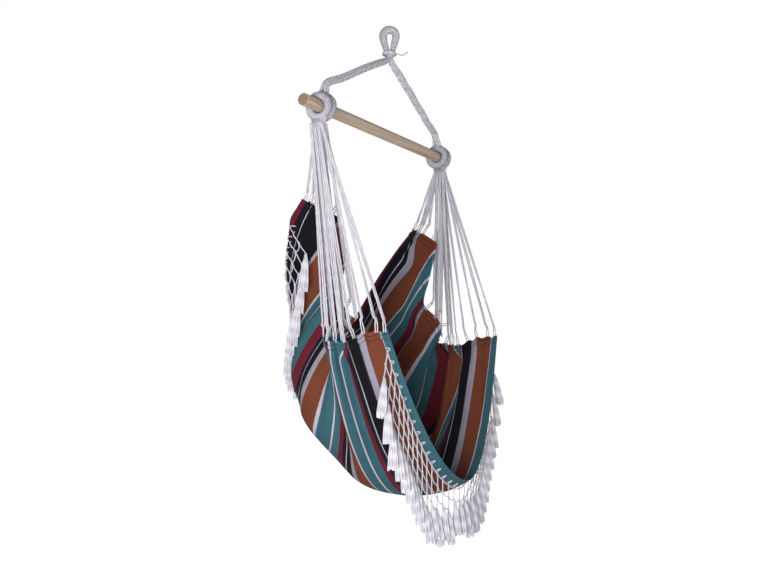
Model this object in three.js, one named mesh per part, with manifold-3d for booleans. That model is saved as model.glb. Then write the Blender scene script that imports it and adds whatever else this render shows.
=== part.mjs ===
// A hammock chair: a striped cotton cloth hung by cords from a wooden spreader bar and one rope eye.
// Lengths are in millimetres and angles in radians. The origin is where the hanging eye bears on its hook.
// X runs along the spreader bar, Z is up, and the chair faces -Y. "Right" is the sitter's right, at -X.

import * as THREE from "three";
import { mergeVertices } from "three/addons/utils/BufferGeometryUtils.js";
import Module from "manifold-3d";

const wasm = await Module();
wasm.setup();

// Clearance between pieces that touch on the real object
const touchGap = 0.4;

// Hanging eye and its neck
const eyeRopeDiameter = 25;
const eyeHoleWidth = 17;
const eyeHoleHeight = 44;
const eyeWaistShare = 0.66; // where its sides bend in, down the hole and out to the crown's width
const neckStrandDiameter = 18;
const neckLevel = 66; // depth of the neck's middle below the hook
const throatHeight = 14;
const throatFullness = 1.06; // its radius, as a share of a neck strand's diameter
const bindingHeight = 11;
const bindingThickness = 3.5;
const bindingBulge = 1;
const eyeHeading = THREE.MathUtils.degToRad(-60); // the eye's plane is turned from the bar

// Loose tail of the neck binding
const tailDiameter = 4;
const tailReach = 36;
const tailDroop = 4;
const tailLift = 7;
const tailHeading = THREE.MathUtils.degToRad(-60); // from +X, seen from above

// Suspension legs
const legDiameter = 24;
const legCordCount = 5;
const legGrooveShare = 0.2;
const legGrooveStart = 0.12; // the cords are pressed together at the top of a leg
const legTopHalfHeight = 11; // of its sloping round end
const legTwistTurns = { right: 0.2, left: 0.9 };
const legSpread = 9; // half the distance between the two legs where they part
const legShoulderRise = 72; // how far above the bar's axis a leg's middle bends down to its ring
const legShoulderInset = 16; // and how far short of the ring
const legEndRise = 43; // how far above the bar's axis it meets the ring

// Spreader bar
const barDiameter = 35;
const barLength = 1000;
const barDrop = 334; // from the hook down to the bar's axis
const barShift = -43; // so does the bar
const barChamfer = 2;

// Whipped rings on the bar
const ringRopeDiameter = 24;
const ringPlay = 1.6; // radial play between a ring and the bar
const ringPitch = 26; // between an upper ring and the lower ring beside it
const ringSpan = 840; // between the middles of the two pairs of rings
const ringShift = -23; // the legs are unequal, so the rings sit towards the sitter's right
const gatherNeckDiameter = 40;
const gatherWaistDiameter = 22;
const gatherNeckLength = 16;

// Seat strings: each is one doubled cord
const stringCordDiameter = 4.2;
const stringWidth = 8;
const stringColumns = 4;
const stringRows = 5;
const stringPlay = 1.4;

// Hem cord, with one eyelet loop for each string
const hemCordDiameter = 3.6;
const eyeletHeight = 26;
const eyeletWidth = 15;
const hemPlay = 0.5; // between the hem's edge and the cord

// Cloth
const clothWidth = 1010; // across the stripes, front edge to back edge
const clothThickness = 2;
const frontHemShare = 0.045; // the front edge is turned over and sewn down
const frontHemThickness = 4;
const hemDepthShare = 0.05; // the gathered ends are tunnels for the hem cords
const hemThickness = 6;

// Where the cloth hangs: corners, lowest points and edges
const cornerSpan = 872; // between the two front corners
const frontCornerDrop = 640; // from the bar's axis down to a front corner
const backCornerRise = 395; // from a front corner up to a back corner
const frontCornerReach = 209; // in front of the bar
const backCornerReach = 100; // behind the bar
const frontDip = 460; // from a front corner down to the lowest point of the front edge
const frontDipReach = 277; // in front of the bar
const seatSag = 57; // from there down to the bottom of the seat
const backDip = 385; // from a back corner down to the middle of the back edge
const backDipReach = 216; // behind the bar

// How the cloth's sides rise and turn towards the hems. Higher powers keep it flat for longer.
const bowlPower = 1.9;
const seatBackBowlPower = 3.6;
const edgeSteepPower = 6;
const edgeSteepShare = 0.4;
const frontTurnPower = 1.4;
const backTurnPower = 9;
const clothBillow = 0.6; // how far the lower back bags out sideways beyond its hems

// Main folds, which start at the gathered hems
const foldCount = 6;
const foldDepth = 15; // at most, from the smooth cloth
const foldHemPower = 8; // the hem cords hold the hems themselves to a smooth line
const foldFrontShares = [0.16, 0.3]; // where the folds set in, behind the front edge
const foldBackShares = [0.72, 0.84]; // and where they end, before the back edge

// Net fringes, each sewn to the outer face of the cloth along a seam a little way in from its edge
const netSeamShare = 0.03; // from the cloth's edge
const netPlay = 0.8; // between the cloth's face and a net
const netDrop = 2.6; // a net hangs this much lower than its seam
const netStrand = 4.4;
const netRowHeight = 38;
const netInsetShare = 0.94; // how far along towards the hems the nets run
const netRowCounts = [2, 3, 4, 4, 4, 4, 5, 4, 3, 3, 1, 1, 1]; // rows of mesh, from a corner to the middle
const tasselLength = 108;
const frontFringeLean = 80; // how far crowded tassels are pushed outwards at a front corner
const backFringeLean = 15; // and at a back corner
const fringeLeanColumns = 6;
const tasselNeckDiameter = 9;
const tasselBodyDiameter = 14;
const tasselEndDiameter = 24;
const tasselBodyShare = 0.2; // how far down the body's width is reached

// How finely round things are cut
const ropeSides = 8;
const hemCordSides = 4;
const tasselSides = 4;
const ringSteps = 20;
const barSides = 32;
const clothStepsAcross = 26;
const clothStepsAlong = 22;

// Colours and finishes
const cottonWhite = { color: 0xc9c7cf, roughness: 0.95, metalness: 0 };
const paleWood = { color: 0xc2a57c, roughness: 0.6, metalness: 0 };
const wovenCotton = { color: 0x7a4532, roughness: 0.9, metalness: 0 };

const barLevel = -barDrop;
const sides = { right: -1, left: 1 };
const chair = new THREE.Group();

function addPiece(name, geometry, finish) {
  const mesh = new THREE.Mesh(geometry, new THREE.MeshStandardMaterial(finish));
  mesh.name = name;
  chair.add(mesh);
  return mesh;
}

// Closed surface through a row of rings, each a list of points that go round in the same sense.
function loft(rings, closed = false) {
  const count = rings[0].length;
  const positions = rings.flat().flatMap((point) => [point.x, point.y, point.z]);
  const index = [];
  const last = closed ? rings.length : rings.length - 1;
  for (let i = 0; i < last; i++) {
    const a = i * count;
    const b = ((i + 1) % rings.length) * count;
    for (let j = 0; j < count; j++) {
      const k = (j + 1) % count;
      index.push(a + j, a + k, b + k, a + j, b + k, b + j);
    }
  }
  if (!closed) {
    const end = (rings.length - 1) * count;
    for (let j = 1; j < count - 1; j++) {
      index.push(0, j + 1, j, end, end + j, end + j + 1);
    }
  }
  const geometry = new THREE.BufferGeometry();
  geometry.setAttribute("position", new THREE.Float32BufferAttribute(positions, 3));
  geometry.setIndex(index);
  return facingOut(geometry);
}

// Turns a closed surface so that its faces point out.
function facingOut(geometry) {
  const position = geometry.getAttribute("position");
  const index = geometry.index.array;
  const [a, b, c] = [new THREE.Vector3(), new THREE.Vector3(), new THREE.Vector3()];
  let volume = 0;
  for (let i = 0; i < index.length; i += 3) {
    a.fromBufferAttribute(position, index[i]);
    b.fromBufferAttribute(position, index[i + 1]);
    c.fromBufferAttribute(position, index[i + 2]);
    volume += a.dot(b.cross(c));
  }
  if (volume < 0) {
    for (let i = 0; i < index.length; i += 3) {
      [index[i + 1], index[i + 2]] = [index[i + 2], index[i + 1]];
    }
  }
  return geometry;
}

// Tube along a row of points. Its radius is radiusAt(share of the way, angle round it, the point).
function tube(points, radiusAt, sideCount, closed = false) {
  const count = points.length;
  const rings = [];
  let across = new THREE.Vector3(0, 1, 0);
  points.forEach((point, i) => {
    const before = points[closed ? (i + count - 1) % count : Math.max(i - 1, 0)];
    const after = points[closed ? (i + 1) % count : Math.min(i + 1, count - 1)];
    const along = after.clone().sub(before).normalize();
    across = across.clone().addScaledVector(along, -across.dot(along)).normalize();
    const up = along.clone().cross(across);
    const share = i / (count - 1);
    rings.push(
      Array.from({ length: sideCount }, (_, j) => {
        const angle = (2 * Math.PI * j) / sideCount;
        const radius = radiusAt(share, angle, point);
        return point
          .clone()
          .addScaledVector(across, radius * Math.cos(angle))
          .addScaledVector(up, radius * Math.sin(angle));
      }),
    );
  });
  return loft(rings, closed);
}

function solidOf(geometry) {
  const bare = geometry.clone();
  bare.deleteAttribute("normal");
  bare.deleteAttribute("uv");
  const merged = mergeVertices(bare);
  return new wasm.Manifold(
    new wasm.Mesh({
      numProp: 3,
      vertProperties: new Float32Array(merged.getAttribute("position").array),
      triVerts: new Uint32Array(merged.index.array),
    }),
  );
}

function geometryOf(solid) {
  const mesh = solid.getMesh();
  const geometry = new THREE.BufferGeometry();
  geometry.setAttribute("position", new THREE.Float32BufferAttribute(mesh.vertProperties, 3));
  geometry.setIndex(Array.from(mesh.triVerts));
  return geometry;
}

function joined(...geometries) {
  return geometryOf(geometries.map(solidOf).reduce((all, one) => all.add(one)));
}

// Solid turned about the Z axis from [radius, height] pairs, listed from the bottom up.
function turned(profile, steps) {
  const outline = [[0, profile[0][1]], ...profile, [0, profile[profile.length - 1][1]]];
  const geometry = new THREE.LatheGeometry(
    outline.map(([radius, height]) => new THREE.Vector2(radius, height)),
    steps,
  );
  return geometry.rotateX(Math.PI / 2);
}

// Hanging eye: one rope bent round the hook, its two strands pressed together at the throat.
const crownRadius = (eyeHoleWidth + eyeRopeDiameter) / 2;
const crownLevel = -eyeHoleWidth / 2;
const throatTop = -neckLevel + throatHeight / 2;
const throatBottom = throatTop - throatHeight;
const throatRadius = neckStrandDiameter * throatFullness;

function eyeHalf(side) {
  const arcSteps = 6;
  const arcEnd = THREE.MathUtils.degToRad(99);
  const arc = Array.from({ length: arcSteps + 1 }, (_, i) => {
    const angle = (i / arcSteps) * arcEnd;
    return new THREE.Vector3(
      side * crownRadius * Math.sin(angle),
      0,
      crownLevel + crownRadius * Math.cos(angle),
    );
  });
  const strandX = (neckStrandDiameter + touchGap) / 2;
  const waistX = THREE.MathUtils.lerp(strandX, crownRadius, eyeWaistShare);
  return [
    ...arc,
    new THREE.Vector3(side * waistX, 0, -eyeHoleHeight * eyeWaistShare),
    new THREE.Vector3(side * strandX, 0, throatTop),
    new THREE.Vector3(side * strandX, 0, throatBottom + touchGap),
  ];
}

const eyePath = [...eyeHalf(sides.right).slice(1).reverse(), ...eyeHalf(sides.left)];
const eyeLoop = tube(
  eyePath,
  (share, angle, point) => {
    const fullness = THREE.MathUtils.smoothstep(point.z, throatTop, crownLevel);
    return THREE.MathUtils.lerp(neckStrandDiameter, eyeRopeDiameter, fullness) / 2;
  },
  ropeSides,
);
const throat = turned([[throatRadius, throatBottom], [throatRadius, throatTop]], ringSteps);
const eye = addPiece("hanging_eye", joined(eyeLoop, throat), cottonWhite);
eye.rotation.z = eyeHeading;

// Neck binding: cord wound round the throat.
const bindingInner = throatRadius + touchGap;
const bindingOuter = bindingInner + bindingThickness;
const bindingTop = throatTop - (throatHeight - bindingHeight) / 2;
const bindingBottom = bindingTop - bindingHeight;
const bindingProfile = [
  [bindingInner, bindingBottom],
  [bindingOuter - bindingBulge, bindingBottom],
  [bindingOuter, (bindingTop + bindingBottom) / 2],
  [bindingOuter - bindingBulge, bindingTop],
  [bindingInner, bindingTop],
  [bindingInner, bindingBottom],
];
const bindingGeometry = new THREE.LatheGeometry(
  bindingProfile.map(([radius, height]) => new THREE.Vector2(radius, height)),
  ringSteps,
).rotateX(Math.PI / 2);
addPiece("neck_binding", bindingGeometry, cottonWhite);

// The binding's loose tail stands out to the side, droops a little and turns up at its end.
const tailStart = bindingOuter + touchGap;
const tailLevel = bindingBottom + bindingHeight / 2;
const tailSteps = 8;
const tailPoints = Array.from({ length: tailSteps + 1 }, (_, i) => {
  const share = i / tailSteps;
  const out = tailStart + tailReach * share;
  const level = tailLevel - tailDroop * Math.sin(share * Math.PI) ** 2 + tailLift * share ** 3;
  return new THREE.Vector3(out * Math.cos(tailHeading), out * Math.sin(tailHeading), level);
});
addPiece("binding_tail", tube(tailPoints, () => tailDiameter / 2, ropeSides), cottonWhite);

// Spreader bar: a turned rod with broken edges.
const barRadius = barDiameter / 2;
const barProfile = [
  [barRadius - barChamfer, -barLength / 2],
  [barRadius, -barLength / 2 + barChamfer],
  [barRadius, barLength / 2 - barChamfer],
  [barRadius - barChamfer, barLength / 2],
];
const bar = addPiece("spreader_bar", turned(barProfile, barSides), paleWood);
bar.rotation.y = Math.PI / 2;
bar.position.set(barShift, 0, barLevel);

// Whipped rings. An upper ring holds the bar up from below, and a lower ring hangs on the bar's top.
const ringRopeRadius = ringRopeDiameter / 2;
const ringRadius = barRadius + ringPlay + ringRopeRadius;
const ringSeat = ringPlay - touchGap;
const upperRingLevel = barLevel + ringSeat;
const lowerRingLevel = barLevel - ringSeat;

function ringX(side, outer) {
  return ringShift + (side * (ringSpan + (outer ? ringPitch : -ringPitch))) / 2;
}

function ringGeometry(side, outer, extra = 0) {
  return new THREE.TorusGeometry(ringRadius, ringRopeRadius + extra, ropeSides, ringSteps)
    .rotateY(Math.PI / 2)
    .translate(ringX(side, outer), 0, outer ? lowerRingLevel : upperRingLevel);
}

// Neck below a lower ring, where the strings are gathered.
const gatherTop = lowerRingLevel - ringRadius;
const gatherWaistLevel = lowerRingLevel - ringRadius - ringRopeRadius - ringSeat;
const gatherShoulderLevel = gatherWaistLevel - gatherNeckLength / 2;
const gatherBottom = gatherWaistLevel - gatherNeckLength;

function gatherNeck(side) {
  return turned(
    [
      [gatherNeckDiameter / 2, gatherBottom],
      [gatherNeckDiameter / 2, gatherShoulderLevel],
      [gatherWaistDiameter / 2, gatherWaistLevel],
      [gatherWaistDiameter / 2, gatherTop],
    ],
    ringSteps,
  ).translate(ringX(side, true), 0, 0);
}

// Suspension leg: a bundle of parallel cords from the neck to the crown of its upper ring.
const legRadius = legDiameter / 2;
const legTopLevel = throatBottom - touchGap - legTopHalfHeight;

function legGeometry(side, twistTurns) {
  const start = new THREE.Vector3(side * legSpread, 0, legTopLevel);
  const shoulderX = ringX(side, false) - side * legShoulderInset;
  const shoulder = new THREE.Vector3(shoulderX, 0, barLevel + legShoulderRise);
  const steps = 12;
  const points = Array.from({ length: steps }, (_, i) => start.clone().lerp(shoulder, i / (steps - 1)));
  points.push(new THREE.Vector3(ringX(side, false), 0, barLevel + legEndRise));
  const twist = 2 * Math.PI * twistTurns;
  const bundle = tube(
    points,
    (share, angle) => {
      const depth = (legGrooveShare / 2) * THREE.MathUtils.smoothstep(share, 0, legGrooveStart);
      return legRadius * (1 - depth * (1 + Math.cos(legCordCount * (angle + twist * share))));
    },
    legCordCount * 3,
  );
  const cleared = solidOf(bundle).subtract(solidOf(ringGeometry(side, false, touchGap)));
  const pieces = cleared.decompose().sort((a, b) => b.volume() - a.volume());
  return geometryOf(pieces[0]);
}

for (const [sideName, side] of Object.entries(sides)) {
  addPiece(`upper_ring_${sideName}`, ringGeometry(side, false), cottonWhite);
  addPiece(`lower_ring_${sideName}`, joined(ringGeometry(side, true), gatherNeck(side)), cottonWhite);
  addPiece(`suspension_leg_${sideName}`, legGeometry(side, legTwistTurns[sideName]), cottonWhite);
}

// Shape of the cloth. Its front edge is at cloth share 0 and its back edge at 1, and each line of equal
// share runs from hem to hem, as a stripe does. The half at +X is described, and the other mirrors it.
const frontCornerLevel = barLevel - frontCornerDrop;
const backCornerLevel = frontCornerLevel + backCornerRise;

// The gathered hem, front corner to back corner: [cloth share, span share, depth share, rise share].
// The depth goes from the front corner's reach to the back corner's, the rise from the front corner up.
const hemShares = [
  [0, 1, 0, 0],
  [0.049, 0.995, 0.078, -0.003],
  [0.103, 0.998, 0.249, -0.01],
  [0.131, 0.995, 0.314, -0.03],
  [0.17, 0.979, 0.43, -0.066],
  [0.201, 0.961, 0.495, -0.073],
  [0.231, 0.938, 0.515, -0.073],
  [0.262, 0.963, 0.56, -0.071],
  [0.298, 1, 0.608, -0.068],
  [0.358, 0.917, 0.725, -0.03],
  [0.436, 0.812, 0.612, -0.03],
  [0.48, 0.761, 0.547, 0.015],
  [0.52, 0.739, 0.54, 0.096],
  [0.56, 0.757, 0.625, 0.177],
  [0.614, 0.72, 0.735, 0.273],
  [0.655, 0.697, 0.715, 0.359],
  [0.7, 0.702, 0.673, 0.466],
  [0.74, 0.716, 0.647, 0.57],
  [0.775, 0.748, 0.628, 0.699],
  [0.81, 0.798, 0.628, 0.828],
  [0.83, 0.826, 0.706, 0.871],
  [0.869, 0.853, 0.835, 0.934],
  [0.897, 0.862, 0.88, 0.952],
  [0.967, 0.872, 0.939, 0.977],
  [1, 0.872, 1, 1],
];

// The middle of the cloth, front edge to back edge: [cloth share, depth share, sag share, climb share].
// The depth goes from the front dip's reach to the back dip's. The sag is below the front dip, and the
// climb goes from the front dip up to the middle of the back edge.
const middleShares = [
  [0, 0, 0, 0],
  [0.08, 0.14, 0.66, 0],
  [0.17, 0.31, 1, 0],
  [0.27, 0.48, 1, 0],
  [0.36, 0.62, 0.62, 0],
  [0.45, 0.74, 0, 0.07],
  [0.54, 0.89, 0, 0.25],
  [0.65, 0.98, 0, 0.48],
  [0.77, 0.99, 0, 0.7],
  [0.88, 0.995, 0, 0.85],
  [1, 1, 0, 1],
];

const frontDipLevel = frontCornerLevel - frontDip;
const backDipLevel = backCornerLevel - backDip;

const hemPoints = hemShares.map(([, span, depth, rise]) => {
  const y = THREE.MathUtils.lerp(-frontCornerReach, backCornerReach, depth);
  return new THREE.Vector3((span * cornerSpan) / 2, y, frontCornerLevel + rise * backCornerRise);
});
const middlePoints = middleShares.map(([, depth, sag, climb]) => {
  const y = THREE.MathUtils.lerp(-frontDipReach, backDipReach, depth);
  const climbed = THREE.MathUtils.lerp(frontDipLevel, backDipLevel, climb);
  return new THREE.Vector3(0, y, climbed - sag * seatSag);
});
const hemCurve = new THREE.CatmullRomCurve3(hemPoints, false, "centripetal");
const middleCurve = new THREE.CatmullRomCurve3(middlePoints, false, "centripetal");

// Point of a curve whose control points stand at the given cloth shares.
function pointAtShare(curve, stations, clothShare) {
  const last = stations.length - 2;
  const found = stations.findIndex(([at]) => at > clothShare);
  const i = Math.min(last, Math.max(0, found < 0 ? last : found - 1));
  const within = (clothShare - stations[i][0]) / (stations[i + 1][0] - stations[i][0]);
  return curve.getPoint((i + within) / (stations.length - 1));
}

// How the smooth cloth rises and turns from its middle (along = 0) to a hem (along = 1 or -1).
function smoothPoint(along, clothShare) {
  const s = Math.abs(along);
  const hem = pointAtShare(hemCurve, hemShares, clothShare);
  const middle = pointAtShare(middleCurve, middleShares, clothShare);
  const backness = THREE.MathUtils.smoothstep(clothShare, 0.2, 0.6);
  const steepness = THREE.MathUtils.smoothstep(clothShare, 0.5, 1);
  const gathering = backness * (1 - steepness);
  const steepShare = edgeSteepShare * steepness;
  const bowl = THREE.MathUtils.lerp(bowlPower, seatBackBowlPower, gathering);
  const rise = (1 - steepShare) * s ** bowl + steepShare * s ** edgeSteepPower;
  const turn = s ** THREE.MathUtils.lerp(frontTurnPower, backTurnPower, backness);
  const spread = s * (1 + clothBillow * gathering * (1 - s * s));
  return new THREE.Vector3(
    Math.sign(along) * spread * hem.x,
    THREE.MathUtils.lerp(middle.y, hem.y, turn),
    THREE.MathUtils.lerp(middle.z, hem.z, rise),
  );
}

// Unit vector out of the face that the sitter touches, from small steps along and across the cloth.
function clothNormal(along, clothShare) {
  const stepShare = 0.01;
  const clamp = THREE.MathUtils.clamp;
  const [alongFrom, alongTo] = [-1, 1].map((way) => clamp(along + way * stepShare, -1, 1));
  const [acrossFrom, acrossTo] = [-1, 1].map((way) => clamp(clothShare + way * stepShare, 0, 1));
  const alongStep = smoothPoint(alongTo, clothShare).sub(smoothPoint(alongFrom, clothShare));
  const acrossStep = smoothPoint(along, acrossTo).sub(smoothPoint(along, acrossFrom));
  return alongStep.cross(acrossStep).normalize();
}

// The cloth with its main folds, which run from the gathered hems towards the middle and fade out there.
function clothPoint(along, clothShare) {
  const s = Math.abs(along);
  const wave = Math.sin(2 * Math.PI * foldCount * clothShare);
  const frontFade = THREE.MathUtils.smoothstep(clothShare, foldFrontShares[0], foldFrontShares[1]);
  const backFade = 1 - THREE.MathUtils.smoothstep(clothShare, foldBackShares[0], foldBackShares[1]);
  const height = foldDepth * wave * frontFade * backFade * s ** 2 * (1 - s ** foldHemPower);
  return smoothPoint(along, clothShare).addScaledVector(clothNormal(along, clothShare), height);
}

// Thickness of the cloth between the tunnel hems.
function edgeThicknessAt(clothShare) {
  return clothShare < frontHemShare ? frontHemThickness : clothThickness;
}

// The cloth as one thin closed shell, thicker in the tunnel hems.
function clothGeometry() {
  const rings = [];
  const hemStart = 1 - hemDepthShare;
  const halfSteps = clothStepsAlong / 2;
  const alongStations = [];
  for (let i = -halfSteps; i <= halfSteps; i++) {
    const inner = Math.min(Math.abs(i), halfSteps - 1) / (halfSteps - 1);
    alongStations.push(Math.sign(i) * (Math.abs(i) === halfSteps ? 1 : inner * hemStart));
  }
  for (const along of alongStations) {
    const inTunnel = Math.abs(along) > hemStart;
    const outer = [];
    const inner = [];
    for (let j = 0; j <= clothStepsAcross; j++) {
      const clothShare = j / clothStepsAcross;
      const thickness = inTunnel ? hemThickness : edgeThicknessAt(clothShare);
      const point = clothPoint(along, clothShare);
      const normal = clothNormal(along, clothShare);
      outer.push(point.clone().addScaledVector(normal, thickness / 2));
      inner.push(point.clone().addScaledVector(normal, -thickness / 2));
    }
    rings.push([...outer, ...inner.reverse()]);
  }
  return loftStrip(rings);
}

// Like loft, for flat rings whose two halves lie opposite each other: the ends are closed by strips.
function loftStrip(rings) {
  const geometry = loft(rings, true);
  const count = rings[0].length;
  const index = [];
  for (let i = 0; i < rings.length - 1; i++) {
    const [a, b] = [i * count, (i + 1) * count];
    for (let j = 0; j < count; j++) {
      const k = (j + 1) % count;
      index.push(a + j, a + k, b + k, a + j, b + k, b + j);
    }
  }
  const end = (rings.length - 1) * count;
  for (let j = 0; j < count / 2 - 1; j++) {
    const opposite = count - 1 - j;
    index.push(j, opposite, j + 1, j + 1, opposite, opposite - 1);
    index.push(end + j, end + j + 1, end + opposite, end + j + 1, end + opposite - 1, end + opposite);
  }
  geometry.setIndex(index);
  return facingOut(geometry);
}

addPiece("seat_cloth", clothGeometry(), wovenCotton);

// Places on the hem where the strings pull, as cloth shares: close together in the gathered front part,
// none on the steep stretch, and a group at the back corner.
const stringCount = stringColumns * stringRows;
const cornerStrings = 5;
const gatheredEndShare = 0.6;
const cornerStartShare = 0.83;
const firstStringShare = 0.02;
const stringShares = Array.from({ length: stringCount }, (_, i) => {
  const gathered = stringCount - cornerStrings;
  if (i < gathered) {
    return THREE.MathUtils.lerp(firstStringShare, gatheredEndShare, i / (gathered - 1));
  }
  const within = (i - gathered) / (cornerStrings - 1);
  return THREE.MathUtils.lerp(cornerStartShare, 1 - firstStringShare, within);
});

// Strings are gathered in a small grid at the neck. They start in any order. Then pairs trade places, first
// until each string leans the way its place lies in the grid, and then until fewer of them touch.
function stringSlots(side, feet) {
  const centre = new THREE.Vector3(ringX(side, true), 0, gatherBottom - touchGap);
  const slots = feet.map((_, i) => {
    const [row, column] = [i % stringRows, Math.floor(i / stringRows)];
    return new THREE.Vector3(
      centre.x + (row - (stringRows - 1) / 2) * (stringCordDiameter + stringPlay),
      centre.y + (column - (stringColumns - 1) / 2) * (stringWidth + stringPlay),
      centre.z,
    );
  });
  const misfit = () =>
    feet.reduce((sum, foot, i) => {
      const [slot, lean] = [slots[i], foot.clone().sub(centre).divideScalar(centre.z - foot.z)];
      const fitX = ((slot.x - centre.x) * lean.x) / stringCordDiameter ** 2;
      const fitY = ((slot.y - centre.y) * lean.y) / stringWidth ** 2;
      return sum - fitX - fitY;
    }, 0);
  const touches = () => {
    let count = 0;
    for (let i = 0; i < slots.length; i++) {
      for (let j = 0; j < i; j++) count += touchingLevels(slots[i], feet[i], slots[j], feet[j]);
    }
    return count;
  };
  const trade = (i, j) => ([slots[i], slots[j]] = [slots[j], slots[i]]);
  for (const score of [misfit, touches]) {
    let best = score();
    for (let improving = true; improving; ) {
      improving = false;
      for (let i = 0; i < slots.length; i++) {
        for (let j = 0; j < i; j++) {
          trade(i, j);
          const now = score();
          if (now < best) improving = true;
          else trade(i, j);
          best = Math.min(best, now);
        }
      }
    }
  }
  return slots;
}

// Strings are cut level, so two of them are compared level by level. Counts the levels at which they touch.
function touchingLevels(topA, footA, topB, footB) {
  const steps = 24;
  const lowest = Math.max(footA.z, footB.z);
  let count = 0;
  for (let i = 0; i <= steps; i++) {
    const level = THREE.MathUtils.lerp(topA.z, lowest, i / steps);
    const [shareA, shareB] = [(level - topA.z) / (footA.z - topA.z), (level - topB.z) / (footB.z - topB.z)];
    const apartX = topA.x + (footA.x - topA.x) * shareA - topB.x - (footB.x - topB.x) * shareB;
    const apartY = topA.y + (footA.y - topA.y) * shareA - topB.y - (footB.y - topB.y) * shareB;
    const clearX = Math.abs(apartX) > stringCordDiameter + touchGap;
    const clearY = Math.abs(apartY) > stringWidth + touchGap;
    if (!clearX && !clearY) count++;
  }
  return count;
}

// Section of a doubled cord, six-sided and flat
const stringShoulder = (stringWidth - stringCordDiameter) / 2;
const stringSection = [
  [0, -stringWidth / 2],
  [stringCordDiameter / 2, -stringShoulder],
  [stringCordDiameter / 2, stringShoulder],
  [0, stringWidth / 2],
  [-stringCordDiameter / 2, stringShoulder],
  [-stringCordDiameter / 2, -stringShoulder],
];

// Doubled cord between two points, cut level at both ends.
function stringGeometry(top, foot) {
  const ringAt = (point) =>
    stringSection.map(([x, y]) => new THREE.Vector3(point.x + x, point.y + y, point.z));
  return loft([ringAt(top), ringAt(foot)]);
}

// Place just off the hem's edge, on the straight stretches between the cloth's own corners.
function hemPlace(side, clothShare) {
  const station = THREE.MathUtils.clamp(clothShare, 0, 1) * clothStepsAcross;
  const before = Math.min(Math.floor(station), clothStepsAcross - 1);
  const edgeAt = (at) => clothPoint(1, THREE.MathUtils.clamp(at / clothStepsAcross, 0, 1));
  const [from, to] = [before, before + 1].map((at) => {
    const edge = edgeAt(at);
    const along = edgeAt(at + 1).sub(edgeAt(at - 1)).normalize();
    const out = edge.clone().sub(clothPoint(1 - hemDepthShare, at / clothStepsAcross));
    out.addScaledVector(along, -out.dot(along)).normalize();
    return edge.addScaledVector(out, hemCordRise);
  });
  const place = from.clone().lerp(to, station - before);
  const tangent = to.sub(from).normalize();
  place.x *= side;
  tangent.x *= side;
  return { place, tangent };
}

// Point of an eyelet at a height above the hem. An eyelet stands square to the hem, towards the neck.
function eyeletPoint(side, clothShare, middleShare, height) {
  const { place } = hemPlace(side, clothShare);
  const { place: middle, tangent } = hemPlace(side, middleShare);
  const rise = new THREE.Vector3(ringX(side, true), 0, gatherBottom).sub(middle).normalize();
  rise.addScaledVector(tangent, -rise.dot(tangent)).normalize();
  return place.addScaledVector(rise, height);
}

// Foot of a string, where the lowest corner of its level end just clears the top of its eyelet.
function stringFoot(side, share) {
  const base = eyeletPoint(side, share, share, 0);
  const rise = eyeletPoint(side, share, share, 1).sub(base);
  const dips = stringSection.map(([x, y]) => Math.abs(x * rise.x + y * rise.y));
  const height = eyeletTopShare * eyeletHeight + hemCordFlat + touchGap + Math.max(...dips);
  return base.addScaledVector(rise, height);
}

// Half the loop of an eyelet and then the other half: [share of half its width, share of its height]
const eyeletTopShare = 0.95;
const eyeletShape = [[-1, 0], [-1, 0.6], [-0.5, eyeletTopShare], [0.5, eyeletTopShare], [1, 0.6], [1, 0]];
const eyeletHalfShare = eyeletWidth / 2 / clothWidth;
const hemCordRise = hemCordDiameter / 2 + hemPlay;
const hemCordFlat = (hemCordDiameter / 2) * Math.cos(Math.PI / hemCordSides);

function hemCordPath(side) {
  const path = [];
  const stations = Array.from({ length: clothStepsAcross + 1 }, (_, i) => i / clothStepsAcross);
  stringShares.forEach((share, i) => {
    const previous = i ? stringShares[i - 1] + eyeletHalfShare : 0;
    const between = stations.filter((at) => at > previous && at < share - eyeletHalfShare);
    between.forEach((at) => path.push(hemPlace(side, at).place));
    eyeletShape.forEach(([way, height]) => {
      const at = share + way * eyeletHalfShare;
      path.push(eyeletPoint(side, at, share, height * eyeletHeight));
    });
  });
  return path;
}

for (const [sideName, side] of Object.entries(sides)) {
  const hemCord = tube(hemCordPath(side), () => hemCordDiameter / 2, hemCordSides);
  addPiece(`hem_cord_${sideName}`, hemCord, cottonWhite);

  const feet = stringShares.map((share) => stringFoot(side, share));
  const slots = stringSlots(side, feet);
  feet.forEach((foot, i) => {
    const number = String(i + 1).padStart(2, "0");
    addPiece(`string_${sideName}_${number}`, stringGeometry(slots[i], foot), cottonWhite);
  });
}

// Net fringes. A net is laid out flat, [way along the seam, depth below it], and then hung on the seam.
function seamCurve(clothShare) {
  const steps = 96;
  const standoff = edgeThicknessAt(clothShare) / 2 + netPlay;
  const points = Array.from({ length: steps + 1 }, (_, i) => {
    const along = netInsetShare * ((2 * i) / steps - 1);
    return clothPoint(along, clothShare).addScaledVector(clothNormal(along, clothShare), -standoff);
  });
  const lengths = [0];
  for (let i = 1; i <= steps; i++) {
    lengths.push(lengths[i - 1] + points[i].distanceTo(points[i - 1]));
  }
  const total = lengths[steps];
  const at = (way) => {
    const wanted = THREE.MathUtils.clamp(way, 0, total);
    const i = Math.max(1, lengths.findIndex((length) => length >= wanted));
    const within = (wanted - lengths[i - 1]) / (lengths[i] - lengths[i - 1]);
    return points[i - 1].clone().lerp(points[i], within);
  };
  return { total, at };
}

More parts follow.
